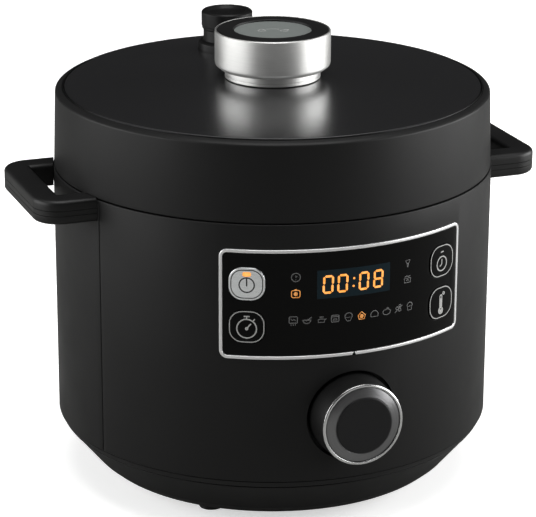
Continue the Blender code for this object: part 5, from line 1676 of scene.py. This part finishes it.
@dataclass
class PushButton:
    """Push button with rounded edges, an outline and a symbol."""

    node: str
    bearing_side: int
    symbol: Symbol
    metal: bool = False
    size: tuple[float, float] = (23.6, 22.0)
    corner: float = 9.0
    depth: float = 4.8
    bearing: float = 26.8
    face: float = 151.3
    crown: float = 0.7  # how far the sides of the metal button drop below its middle

    def build(self) -> None:
        """Make the button, its outline and its symbol."""
        low, high = corners(self.node)
        height = (low.z + high.z) / 2
        place = facing(self.bearing * self.bearing_side, height)
        back = self.face - self.depth
        outline = rounded_rectangle(self.size, self.corner, steps=14)
        body = Solid.slab([outline], back, self.face - (0.0 if self.metal else 0.1), 0.5)
        body = body.joined(Solid.rod(2.5, back - 5.5, back + 1))
        if self.metal:
            pocket = Solid.slab(
                [rounded_rectangle((5.8, 3.2), 1.4, (0, 6.6))], self.face - 0.5, self.face + 1
            )
            body = body.cut(pocket).crowned(self.size[0] / 2, self.crown, self.face - 2)
        finish = BUTTON_STEEL if self.metal else FASCIA
        body.moved(place).settle(f"{self.node}_fine", finish, self.node, self.node)
        marks = self.marks()
        if self.metal:
            marks = marks.crowned(self.size[0] / 2, self.crown, 0)
        ink = DARK_INK if self.metal else WHITE_INK
        marks.moved(place).settle(f"{self.node}_symbol", ink, self.node, sharp=60)
        if self.metal:
            lamp = Solid.slab(
                [rounded_rectangle((5.4, 2.8), 1.2, (0, 6.6))], self.face - 0.4, self.face - 0.01, 0
            )
            lamp.moved(place).settle(f"{self.node}_lamp", AMBER, self.node)

    def marks(self) -> Solid:
        """Symbol and outline, just proud of the face."""
        top = self.face - (0.02 if self.metal else 0.1)
        strokes = [list(stroke) for stroke in self.symbol.value]
        inset = 3.2 if self.metal else 1.3
        printed = Solid.lines(strokes, 1.2 if self.metal else 0.85, 0.06)
        edge = rounded_rectangle(
            (self.size[0] - inset, self.size[1] - inset), self.corner - inset / 2, steps=14
        )
        printed = printed.with_(Solid.lines([closed(edge)], 0.9 if self.metal else 0.6, 0.06))
        if self.symbol is Symbol.THERMOMETER:
            bulb = Solid.slab(
                [arc((0, -5.6), (1.5, 1.5), 0, 345, 23), rounded_rectangle((1.1, 8.0), 0.5, (0, -1.0))],
                -0.03, 0.03
            )
            printed = printed.with_(bulb)
        return printed.moved(shifted(0, 0, top))


@dataclass
class Dial:
    """Push-and-turn dial: skirt, bright edge ring and a shallow cone round a raised disc."""

    height: float = DIAL_AXIS[2]
    radius: float = 27.8
    flare: float = 0.8
    front: float = 168.5
    rear: float = 143.5
    disc: float = 19.5
    shaft: float = 3.0

    def build(self) -> None:
        """Make the dial's pieces, and dress its shaft and encoder."""
        axis = facing(0, self.height)
        base, inner = self.radius + self.flare, self.radius - 2.0
        ledge = self.front - 4.2
        hub, bore = self.shaft + 3.5, self.shaft + 0.4
        Solid.turned(
            [
                (bore, self.rear + 2.5), (hub, self.rear + 2.5), (hub, ledge - 2.7), (
                    inner - 0.3, ledge - 2.7
                ),
                (base - 2.3, self.rear), (base, self.rear, 0.8), (base - 0.3, BODY_RADIUS + 4, 6),
                (
                    self.radius + 0.1, self.front - 1.7, 0.3
                ), (inner, self.front - 1.7), (inner, ledge), (bore, ledge),
            ],
            NEAT,
        ).moved(axis).settle("dial_skirt_fine", HANDLE_ABS, "dial", "dial_skirt")
        Solid.turned(
            [
                (inner, self.front - 1.4), (
                    self.radius, self.front - 1.4, 0.2
                ), (self.radius, self.front - 0.5, 0.4),
                (
                    self.radius - 0.7, self.front, 0.5
                ), (inner + 0.3, self.front, 0.3), (inner, self.front - 0.5),
            ],
            NEAT, 0.15,
        ).moved(axis).settle("dial_trim_fine", DIAL_CUT, "dial", "dial_trim")
        rim, tip = inner - 0.3, self.front + 2.0
        Solid.turned(
            [
                (0, ledge + 0.3), (rim, ledge + 0.3), (rim, self.front - 0.5, 0.5), (
                    self.disc + 0.3, tip - 0.75, 0.1
                ),
                (self.disc + 0.1, tip - 0.9, 0.1), (0, tip - 0.9),
            ],
            NEAT, 0.1,
        ).moved(axis).settle("dial_face_fine", DIAL_DISC, "dial", "dial_face")
        seat = tip - 0.85
        Solid.turned(
            [
                (0, seat), (self.disc - 0.25, seat), (self.disc - 0.35, tip - 0.2, 0.3),
                (self.disc - 1.0, tip, 1.2), (0, tip - 0.15)
            ],
            NEAT, 0.1,
        ).moved(axis).settle("dial_centre", DIAL_CENTRE, "dial")
        dress("encoder_shaft", ZINC)
        dress("encoder_body", ZINC)


# Lid -----------------------------------------------------------------------------------------


@dataclass
class Lid:
    """Skirt, bright ring, domed plate, liner, pressure plate, seal and steam shield."""

    radius: float = 150.0
    draft: float = 1.7
    wall: float = 3.0
    shoulder: tuple[float, float] = (4.8, 1.6)
    dome: float = 4.1
    valve_y: float = 92.5
    float_x: float = 78.0

    def __post_init__(self) -> None:
        """Take the lid's heights from the frame."""
        self.low, crest = heights("lid_skirt")
        self.step = crest - self.shoulder[1]
        self.plate_radius = self.radius - self.draft - self.shoulder[0] - 1.4
        self.edge_top = self.step + 2.0

    def dome_height(self, radius: float) -> float:
        """Height of the plate's upper face at a radius."""
        return self.edge_top + self.dome * (1 - (radius / self.plate_radius) ** 2)

    def build(self) -> None:
        """Make every piece of the lid."""
        self.skirt()
        self.plate()
        self.liner()
        self.pressure_plate()

    def skirt(self) -> None:
        """Outer wall with its shoulder, and the bright ring inside the shoulder."""
        top = self.radius - self.draft
        inward, upward = self.shoulder
        edge = top - inward
        shelf = self.step - 0.8
        Solid.turned(
            [
                (
                    self.radius - 0.3, self.low, 0.2
                ), (self.radius, self.low + 0.5, 0.5), (top, self.step - 0.8, 2.0),
                (top - 1.6, self.step + 0.4, 2.2), (edge, self.step + upward, 0.35), (edge, shelf),
                (edge - 6, shelf), (edge - 6, shelf - 2.5), (top - self.wall, shelf - 2.5), (
                    self.radius - self.wall, self.low
                ),
            ],
            edge=0.3,
        ).settle("lid_skirt_fine", BLACK_ABS, "lid", "lid_skirt")
        outer = self.plate_radius + 1.1
        Solid.turned(
            [
                (outer - 0.8, shelf + 0.3), (outer, shelf + 0.3), (outer, self.edge_top + 0.1, 0.25),
                (outer - 0.8, self.edge_top + 0.2, 0.25),
            ],
            edge=0.1,
        ).settle("lid_trim_fine", EDGE_RING, "lid", "lid_trim")

    def plate(self) -> bpy.types.Object:
        """Gently domed anodised plate with a rolled edge, open at the knob and the valve."""
        bore, thick = 23.9, 2.2
        upper = [(self.plate_radius, self.edge_top - 0.35, 0.5)]
        upper += [(self.plate_radius - 0.9, self.dome_height(self.plate_radius - 0.9), 0.5)]
        upper += [
            (share * self.plate_radius, self.dome_height(share * self.plate_radius), 0)
            for share in (0.97, 0.93, 0.88, 0.82, 0.75, 0.67, 0.58, 0.49, 0.4, 0.31, 0.23)
        ]
        upper += [(bore, self.dome_height(bore))]
        lower = [(bore, self.dome_height(bore) - thick)]
        lower += [
            (share * self.plate_radius, self.dome_height(share * self.plate_radius) - thick, 0)
            for share in (0.3, 0.5, 0.7, 0.85)
        ]
        lower += [(self.plate_radius, self.edge_top - thick)]
        plate = Solid.turned(upper + lower, edge=0.3)
        hole = Solid.rod(20.9, self.edge_top - 10, self.edge_top + 10, NEAT).moved(shifted(0, self.valve_y))
        return plate.cut(hole).settle("lid_top_plate_fine", LID_ANODISED, "lid", "lid_top_plate")

    def liner(self) -> bpy.types.Object:
        """Underside: a hat over the lock ring and a ribbed brim to the skirt."""
        brim = heights("lid_liner")[0]
        crown = heights("lid_liner")[1] - 2.5
        inner, outer = 118.8, self.radius - self.wall - 0.8
        liner = Solid.turned(
            [
                (inner, brim, 1.0), (outer, brim, 1.0), (outer, brim + 2.5), (inner + 2.5, brim + 2.5),
                (inner + 2.5, crown + 2.5), (12, crown + 2.5), (12, crown), (inner, crown, 2.0),
            ],
            edge=0.4,
        )
        hole = Solid.rod(6.4, crown - 2, crown + 5).moved(shifted(0, self.valve_y))
        return liner.cut(hole).settle("lid_liner_fine", BLACK_ABS, "lid", "lid_liner")

    def pressure_plate(self) -> None:
        """Stainless plate with a pressed ring, its silicone seal and the steam shield."""
        low, high = heights("inner_lid")
        radius, bore = 110.8, 6.4
        plate = Solid.turned(
            [
                (bore, low), (60, low, 1), (
                    62, low + 0.35, 1
                ), (84, low + 0.35, 1), (86, low, 1), (radius, low),
                (radius, high), (bore, high),
            ],
            edge=0.4,
        )
        pipe = Solid.rod(6.4, low - 2, high + 2).moved(shifted(0, self.valve_y))
        pin = Solid.rod(2.4, low - 2, high + 2).moved(shifted(self.float_x, 0))
        plate.cut(pipe, pin).settle("pressure_plate", SPUN_STEEL, "lid", "inner_lid")
        seal_low, seal_high = heights("gasket")
        outer, edge = corners("gasket")[1].x, radius + 0.4
        ledge = seal_low + 3.3
        Solid.turned(
            [
                (radius - 4, seal_low, 0.8), (outer - 0.1, seal_low, 1.2), (outer - 0.1, ledge - 0.3, 0.8),
                (edge + 1.2, ledge - 0.3, 0.1), (edge + 1.2, seal_high, 0.5), (edge, seal_high, 0.3),
                (edge, ledge), (radius - 4, ledge),
            ],
            edge=0.2,
        ).settle("sealing_ring", SILICONE, "lid", "gasket")
        low, high = heights("steam_shield")
        shield = Solid.turned(
            [
                (4, high - 1.2), (10.3, high - 1.2, 1.0), (10.3, low), (11.5, low), (11.5, high, 1.6),
                (4, high)
            ],
            PLAIN, 0.3,
        ).moved(shifted(0, self.valve_y))
        slot = Solid.block((-0.9, 8.5, low - 1), (0.9, 13, low + 5.2), edge=0)
        slots = slot.copied(turned_round(10)).moved(shifted(0, self.valve_y))
        shield.cut(slots).settle("steam_shield_fine", VALVE_STEEL, "lid", "steam_shield")
        dress("steam_pipe", VALVE_STEEL)


@dataclass
class Knob:
    """Neck, brushed ring, black top, grey disc, nut and the lock ring it turns."""

    radius: float = 39.5
    wall: float = 2.9
    neck: float = 32.7
    spigot: float = 23.5
    disc: float = 26.7
    skirt: float = 1.3  # how far the ring reaches down round the neck
    teeth: int = 6

    def build(self) -> None:
        """Make every piece that shows, and dress the shaft."""
        self.collar()
        self.grip()
        self.marks()
        self.nut()
        self.lock_ring()
        dress("knob_shaft", ZINC)

    def collar(self) -> bpy.types.Object:
        """Fixed neck under the knob, with a fine groove."""
        low, high = heights("knob_neck")
        seat = low + 11
        return Solid.turned(
            [
                (9.4, low), (self.spigot, low), (self.spigot, seat), (self.neck, seat, 0.4),
                (self.neck, seat + 1.9, 0.1), (
                    self.neck - 0.35, seat + 2.1, 0.1
                ), (self.neck - 0.35, seat + 2.4, 0.1),
                (self.neck, seat + 2.6, 0.1), (self.neck, high, 0.6), (9.4, high),
            ],
            NEAT, 0.3,
        ).settle("knob_neck_fine", KNOB_ALUMINIUM, "lid", "knob_neck")

    def grip(self) -> None:
        """Brushed ring, black top and recessed disc."""
        low, top = heights("knob_ring")
        outer, inner = self.radius, self.radius - self.wall
        seat = top - 3.3
        Solid.turned(
            [
                (inner - 6, low), (self.neck + 0.7, low), (self.neck + 0.7, low - self.skirt, 0.3),
                (outer - 3.4, low - self.skirt, 1.0), (outer - 0.3, low + 1.2, 2.6), (outer, low + 3.0, 1.5),
                (outer, top - 0.6, 0.5), (outer - 0.6, top, 0.3), (
                    outer - 1.2, top, 0.15
                ), (outer - 1.2, seat),
                (inner, seat), (inner, low + 2.5), (inner - 6, low + 2.5),
            ],
            FINE, 0.2,
        ).settle("knob_ring_fine", KNOB_ALUMINIUM, "lock_knob", "knob_ring")
        cap_low, cap_top = heights("knob_top")
        rim, disc, pocket = outer - 1.5, self.disc, heights("knob_badge")[0] - 0.3
        Solid.turned(
            [
                (0, cap_low), (inner - 0.3, cap_low), (inner - 0.3, seat + 0.3), (rim, seat + 0.3),
                (rim, cap_top - 0.45, 0.5), (rim - 1.0, cap_top, 1.0), (
                    disc + 0.3, cap_top, 0.35
                ), (disc, cap_top - 0.5, 0.2),
                (disc, pocket), (0, pocket),
            ],
            FINE, 0.1,
        ).settle("knob_top_fine", HANDLE_ABS, "lock_knob", "knob_top")
        low, high = heights("knob_badge")
        Solid.turned(
            [
                (0, low), (disc - 0.3, low), (disc - 0.3, high, 0.35), (disc - 1.2, high, 0.2), (0, high)
            ], NEAT, 0.15
        ).settle("knob_disc", GREY_DISC, "lock_knob", "knob_badge")

    def marks(self) -> bpy.types.Object:
        """Open and closed padlock marks on the disc, with an arrow between them."""
        top = heights("knob_badge")[1]
        body, shackle = (4.6, 3.4), 1.5
        strokes = []
        for side, swing in ((-7.5, 0.0), (7.5, 1.9)):
            strokes.append([(x + side, y - 1.2) for x, y in closed(rounded_rectangle(body, 0.6))])
            strokes.append([
                (side + swing - shackle, 0.5),
                *ring(side + swing, 1.6, shackle, 1.6, 180, 0),
                (side + swing + shackle, 0.5),
            ])
        strokes.append(ring(0, -9.5, 13.5, 13.5, 108, 72))
        strokes.append([(3.0, 2.6), (4.3, 3.4), (3.4, 4.7)])
        printed = Solid.lines(strokes, 0.55, 0.05).moved(shifted(0, 0, top))
        return printed.moved(Matrix.Rotation(math.radians(-20), 4, "Z")).settle(
            "knob_lock_marks", WHITE_INK, "lock_knob", sharp=60
        )

    def nut(self) -> bpy.types.Object:
        """Cap nut under the pressure plate, with finger flutes."""
        low, high = heights("lid_nut")
        nut = Solid.turned(
            [(6.4, low), (11, low, 0.6), (12, low + 1), (12, high - 1), (11, high), (6.4, high)], NEAT, 0.5
        )
        flute = Solid.rod(1.5, low - 1, high - 1.6, 24)
        flutes = [turn @ shifted(12.6, 0) for turn in turned_round(12)]
        return nut.cut(flute.copied(flutes)).settle("lid_nut_fine", SPUN_STEEL, "lock_knob", "lid_nut")

    def lock_ring(self) -> bpy.types.Object:
        """Bayonet ring: a spoked plate with a wall and outward teeth."""
        low, top = heights("lock_ring")
        plate, inner, outer, reach, rise = 2.5, 113.3, 116.8, 122.9, 4.4
        ring_piece = Solid.turned(
            [
                (6.3, top - plate), (inner, top - plate), (inner, low), (reach, low), (reach, low + rise),
                (outer, low + rise), (outer, top, 1.2), (6.3, top),
            ],
            edge=0.5,
        )
        gap_angle = 360 / self.teeth - 26
        gap = Solid.turned(
            [
                (outer + 0.2, low - 1), (reach + 2, low - 1), (reach + 2, low + rise + 1),
                (outer + 0.2, low + rise + 1)
            ],
            16, 0, 30 - gap_angle / 2, gap_angle,
        )
        ring_piece = ring_piece.cut(gap.copied(turned_round(self.teeth)))
        half, hub, rim = 7.0, 20.0, inner - 5
        start = math.degrees(math.asin(half / rim))
        window = [(math.sqrt(hub**2 - half**2), half), (math.sqrt(rim**2 - half**2), half)]
        window += arc((0, 0), (rim, rim), start, 90 - start, 24)[1:-1]
        window += [(half, math.sqrt(rim**2 - half**2)), (half, math.sqrt(hub**2 - half**2))]
        pane = Solid.slab([window], top - plate - 1, top + 1)
        turns = [Matrix.Rotation(math.radians(45 + 90 * step), 4, "Z") for step in range(4)]
        return ring_piece.cut(pane.copied(turns)).settle(
            "lock_ring_fine", SPUN_STEEL, "lock_knob", "lock_ring"
        )


@dataclass
class SteamValve:
    """Collar fixed in the lid, the weight in it, the ribbed cap on the weight, and the float."""

    y: float = 92.5
    collar: float = 20.5
    neck: float = 16.8
    cap: float = 18.15
    dish: float = 2.3  # depth of the hollow in the top of the cap
    float_x: float = 78.0

    def build(self) -> None:
        """Make every piece of the valve and the float."""
        place = shifted(0, self.y)
        low, neck_top = heights("valve_collar")
        collar_top = neck_top - 8.4
        bowl, bore = self.neck - 3.3, 6.4
        bowl_floor = collar_top - 4.3
        Solid.turned(
            [
                (bore, low), (self.collar, low), (
                    self.collar, collar_top - 1.2, 0.6
                ), (self.collar - 1.2, collar_top, 0.8),
                (
                    self.neck + 0.8, collar_top, 0.4
                ), (self.neck, collar_top + 0.8, 0.5), (self.neck, neck_top, 0.6),
                (bowl, neck_top, 0.4), (bowl, bowl_floor, 1.0), (bore, bowl_floor),
            ],
            NEAT, 0.3,
        ).moved(place).settle("valve_collar_fine", VALVE_NYLON, "lid", "valve_collar")
        low, top = heights("valve_cap")
        radius = self.cap
        cap = Solid.turned(
            [
                (0, top - self.dish), (radius - 6.0, top - self.dish + 0.3, 0.8), (radius - 4.2, top, 0.4),
                (radius - 1.1, top, 0.6),
                (radius, top - 1.2, 0.9), (radius, low + 2.2, 0.2), (
                    radius - 0.4, low + 1.8, 0.2
                ), (radius - 0.4, low, 0.4),
                (radius - 2.2, low), (radius - 2.2, top - 3.2), (0, top - 3.2),
            ],
            NEAT, 0.3,
        )
        cap.moved(place).settle("valve_cap_fine", VALVE_NYLON, "steam_cap", "valve_cap")
        self.cap_marks(top - self.dish + 0.1)
        weight_low, weight_top = heights("valve_weight")
        seat = weight_low + 2
        floor = bowl_floor + 0.4
        Solid.turned(
            [
                (0, weight_low), (2.8, weight_low, 0.4), (3.4, seat), (6, seat), (6, floor), (
                    bowl - 1.5, floor, 0.5
                ),
                (bowl - 1.5, neck_top - 1, 1.0), (8, neck_top, 1.0), (8, weight_top), (0, weight_top),
            ],
            PLAIN, 0.2,
        ).moved(place).settle("valve_weight_fine", VALVE_STEEL, "pressure_weight", "valve_weight")
        self.float_pin()

    def cap_marks(self, top: float) -> bpy.types.Object:
        """Raised steam marks in the recess of the cap."""
        strokes = []
        for side in (-3.6, 0.0, 3.6):
            wave = [
                (side + 0.9 * math.sin(step * math.tau / 12), -4.0 + 8.0 * step / 12) for step in range(13)
            ]
            strokes.append(wave)
        strokes.append(ring(0, 0, 9.6))
        marks = Solid.lines(strokes, 0.8, 0.5).moved(shifted(0, self.y, top))
        return marks.settle("valve_cap_marks", VALVE_NYLON, "steam_cap", sharp=60)

    def float_pin(self) -> None:
        """Float pin and its small seal."""
        place = shifted(self.float_x, 0)
        low, tip = heights("float_pin")
        Solid.turned(
            [(0, low), (5, low), (5, low + 2), (2, low + 2), (2, tip, 0.8), (0, tip)], PLAIN, 0.4
        ).moved(
            place
        ).settle("float_pin_fine", ZINC, "float", "float_pin")
        low, high = heights("float_seal")
        Solid.turned([(2.3, low), (5, low), (4.2, high), (2.3, high)], PLAIN, 0.3).moved(place).settle(
            "float_seal_fine", SILICONE, "float", "float_seal"
        )


# Rear ----------------------------------------------------------------------------------------


@dataclass
class Hinge:
    """Bracket, pin and spring on the body, and the knuckle arm on the lid."""

    y: float = 158.5
    z: float = 221.0
    radius: float = 6.2
    pin_radius: float = 2.2
    half: float = 26.0
    ear: float = 6.0
    reach: float = 8.0  # axis behind the body's wall

    def build(self) -> None:
        """Make every piece of the hinge."""
        axis = across(self.y, self.z)
        half, ear, radius = self.half, self.ear, self.radius
        bore = self.pin_radius + 0.4
        drop = radius + 2.4
        wall, high, low = -self.reach - 7, -drop, -drop - 9
        outline = [(wall, low), (-self.reach + 3, low), (radius, -radius * 0.6)]
        outline += arc((0, 0), (radius, radius), -20, 190, 32) + [(wall, high)]
        bracket = Solid.slab([outline], -half, -half + ear, 0.4)
        bracket = bracket.joined(
            Solid.slab([outline], half - ear, half, 0.4),
            Solid.slab([rectangle((wall, low + 0.02), (-self.reach + 2.6, high))], -half + 1, half - 1, 0.4),
        )
        bracket = bracket.cut(Solid.rod(bore, -half - 2, half + 2)).moved(axis)
        bracket = bracket.cut(Solid.rod(BODY_RADIUS + 0.3, 150, 300, FINE))
        bracket.settle("hinge_bracket_fine", ZINC, "base", "hinge_bracket")
        pin = Solid.rod(self.pin_radius, -half - 1, half + 1, edge=0.4).moved(axis)
        pin.settle("hinge_pin_fine", SPUN_STEEL, "base", "hinge_pin")
        spring = Solid.coil(4.4, 0.9, 7, 6.0, half - ear - 1).moved(axis)
        spring.settle("hinge_spring_fine", ZINC, "base", "hinge_spring")
        reach, spring_low = half - ear - 0.8, 6.0
        front = -self.reach + 0.8
        arm = Solid.rod(radius - 0.3, -reach, spring_low - 1, 64, 0.4)
        arm = arm.joined(
            Solid.slab([rectangle((front, 1.2), (0, 14))], -reach + 0.02, spring_low - 1.02, 0.3),
            Solid.slab([rectangle((front + 0.02, radius + 1.8), (0.02, 14.02))], -reach, reach, 0.5),
        )
        arm = arm.cut(Solid.rod(bore, -half, half)).moved(axis)
        arm.settle("lid_hinge_arm_fine", ZINC, "lid", "lid_hinge_arm")


@dataclass
class RearFittings:
    """Clear condensation cup and the mains inlet with its three pins."""

    cup_wall: float = 2.0
    flange: tuple[float, float] = (3.0, 2.0)
    inlet_height: float = 76.0
    inlet_flange: tuple[float, float] = (38.0, 30.0)
    socket: tuple[float, float] = (24.0, 16.4)
    socket_depth: float = 17.0
    pin: tuple[float, float, float] = (2.0, 4.0, 14.0)

    def build(self) -> None:
        """Make the cup, the inlet and its pins."""
        self.cup()
        self.inlet()

    def cup(self) -> bpy.types.Object:
        """Moulded cup with soft corners, hanging by two flanges."""
        low, high = corners("condensation_cup")
        wide, thick = self.flange
        half, wall = high.x - wide, self.cup_wall
        cup = Solid.block((-half, low.y, low.z), (half, high.y, high.z), edge=0.8, corner=4.0)
        flange = Solid.block(
            (low.x, low.y, high.z - thick), (high.x, high.y - 3, high.z), edge=0.4, corner=1.0
        )
        cup = cup.joined(flange)
        hollow = Solid.block(
            (
                -half + wall, low.y + wall, low.z + wall
            ), (half - wall, high.y - wall, high.z + 2), edge=0.6, corner=2.4
        )
        return cup.cut(hollow).settle(
            "condensation_cup_fine", CUP_SAN, "condensation_cup", "condensation_cup"
        )

    def inlet(self) -> None:
        """Inlet body with a chamfered socket, and its pins."""
        place = facing(180, self.inlet_height)
        width, height = self.socket
        face = BODY_RADIUS + 2.7
        inlet = Solid.slab([rounded_rectangle(self.inlet_flange, 3)], BODY_RADIUS + 0.3, face, 0.6)
        back = face - self.socket_depth - 2.5
        half, tall = width / 2, height / 2
        inlet = inlet.joined(
            Solid.block((-half - 2.5, -tall - 2.5, back), (half + 2.5, tall + 2.5, BODY_RADIUS + 1), edge=0.3)
        )
        cut_corner = 4.5
        outline = [
            (-half, -tall), (half, -tall), (half, tall - cut_corner), (half - cut_corner, tall),
            (-half + cut_corner, tall), (-half, tall - cut_corner),
        ]
        floor = face - self.socket_depth
        inlet = inlet.cut(Solid.slab([outline], floor, face + 1))
        inlet.moved(place).settle("mains_inlet_fine", INLET_PBT, "base", "mains_inlet")
        thick, rise, length = self.pin
        pin = Solid.block(
            (-thick / 2, -rise / 2, floor - 0.4), (thick / 2, rise / 2, floor + length), edge=0.35
        )
        pins = pin.copied([shifted(-7, -2), shifted(0, 2), shifted(7, -2)])
        pins.moved(place).settle("inlet_pins", PIN_NICKEL, "base")


# Studio --------------------------------------------------------------------------------------


@dataclass
class Studio:
    """Pale floor, soft lights and the camera."""

    floor_reach: float = 14.0
    camera_place: tuple[float, float, float] = (-0.5814, -1.5379, 0.7035)
    azimuth: float = -20.71
    pitch: float = 18.47
    roll: float = 0.22
    lens: float = 166.7
    shift: tuple[float, float] = (-0.00744, -0.0169)

    def build(self) -> None:
        """Make the floor, the world, the lights and the camera."""
        self.floor()
        self.world()
        middle = Vector((0, 0, 0.16))
        for name, spot, size, power in (
            ("overhead", (0.0, -0.4, 2.6), (1.8, 1.8), 46.0),
            ("left_panel", (-2.05, 0.36, 0.75), (2.7, 1.5), 50.0),
            ("right_panel", (2.0, -0.66, 0.66), (2.4, 1.3), 68.0),
        ):
            self.lamp(name, Vector(spot), middle, size, power)
        self.camera()

    def floor(self) -> bpy.types.Object:
        """Plain pale floor."""
        form = bmesh.new()
        bmesh.ops.create_grid(form, x_segments=1, y_segments=1, size=self.floor_reach)
        mesh = bpy.data.meshes.new("floor")
        form.to_mesh(mesh)
        form.free()
        mesh.materials.append(FLOOR_PAPER.material())
        made = bpy.data.objects.new("floor", mesh)
        bpy.context.scene.collection.objects.link(made)
        return made

    def world(self) -> None:
        """Dim room that is darkest near the horizon and paler overhead."""
        world = bpy.data.worlds.new("studio")
        bpy.context.scene.world = world
        world.use_nodes = True
        tree = world.node_tree
        up = add(
            tree, "ShaderNodeSeparateXYZ", {0: add(tree, "ShaderNodeTexCoord").outputs["Generated"]}
        ).outputs[2]
        share = add(tree, "ShaderNodeMapRange", {0: up, 1: 0.55, 2: 0.95}).outputs[0]
        colour = add(
            tree, "ShaderNodeMix", {
                0: share, 6: (0.022, 0.022, 0.023, 1), 7: (0.35, 0.35, 0.35, 1)
            }, data_type="RGBA"
        ).outputs[2]
        tree.links.new(colour, tree.nodes["Background"].inputs[0])

    def lamp(self, name: str, spot: Vector, target: Vector, size: Point, power: float) -> None:
        """Add a rectangular soft light that looks at a point."""
        light = bpy.data.lights.new(name, "AREA")
        light.shape, light.size, light.size_y, light.energy = "RECTANGLE", size[0], size[1], power
        made = bpy.data.objects.new(name, light)
        made.location = spot
        made.rotation_euler = (target - spot).to_track_quat("-Z", "Y").to_euler()
        bpy.context.scene.collection.objects.link(made)

    def camera(self) -> None:
        """Camera above the front left, turned slightly down."""
        data = bpy.data.cameras.new("camera")
        data.sensor_width, data.lens = 36.0, self.lens
        data.shift_x, data.shift_y = self.shift
        data.clip_end = 50
        made = bpy.data.objects.new("camera", data)
        turn = (
            Matrix.Rotation(math.radians(self.azimuth), 4, "Z")
            @ Matrix.Rotation(math.radians(90 - self.pitch), 4, "X")
            @ Matrix.Rotation(math.radians(self.roll), 4, "Z")
        )
        made.matrix_world = Matrix.Translation(self.camera_place) @ turn
        bpy.context.scene.collection.objects.link(made)
        bpy.context.scene.camera = made
        bpy.context.scene.view_settings.view_transform = "Standard"


# Assembly ------------------------------------------------------------------------------------


def main() -> None:
    """Build every sub-assembly in order and report it."""
    logging.basicConfig(level=logging.INFO, format="%(message)s", stream=sys.stdout)
    assemblies = (
        Studio(), BodyShell(), Handles(), Vessel(), ControlPanel(),
        PushButton("power_button", -1, Symbol.STANDBY, metal=True),
        PushButton("timer_button", -1, Symbol.STOPWATCH),
        PushButton("delay_button", 1, Symbol.CLOCK),
        PushButton("temperature_button", 1, Symbol.THERMOMETER),
        Dial(), Lid(), Knob(), SteamValve(), Hinge(), RearFittings(),
    )
    for assembly in assemblies:
        log.info("building %s", type(assembly).__name__)
        assembly.build()


if __name__ == "__main__":
    main()
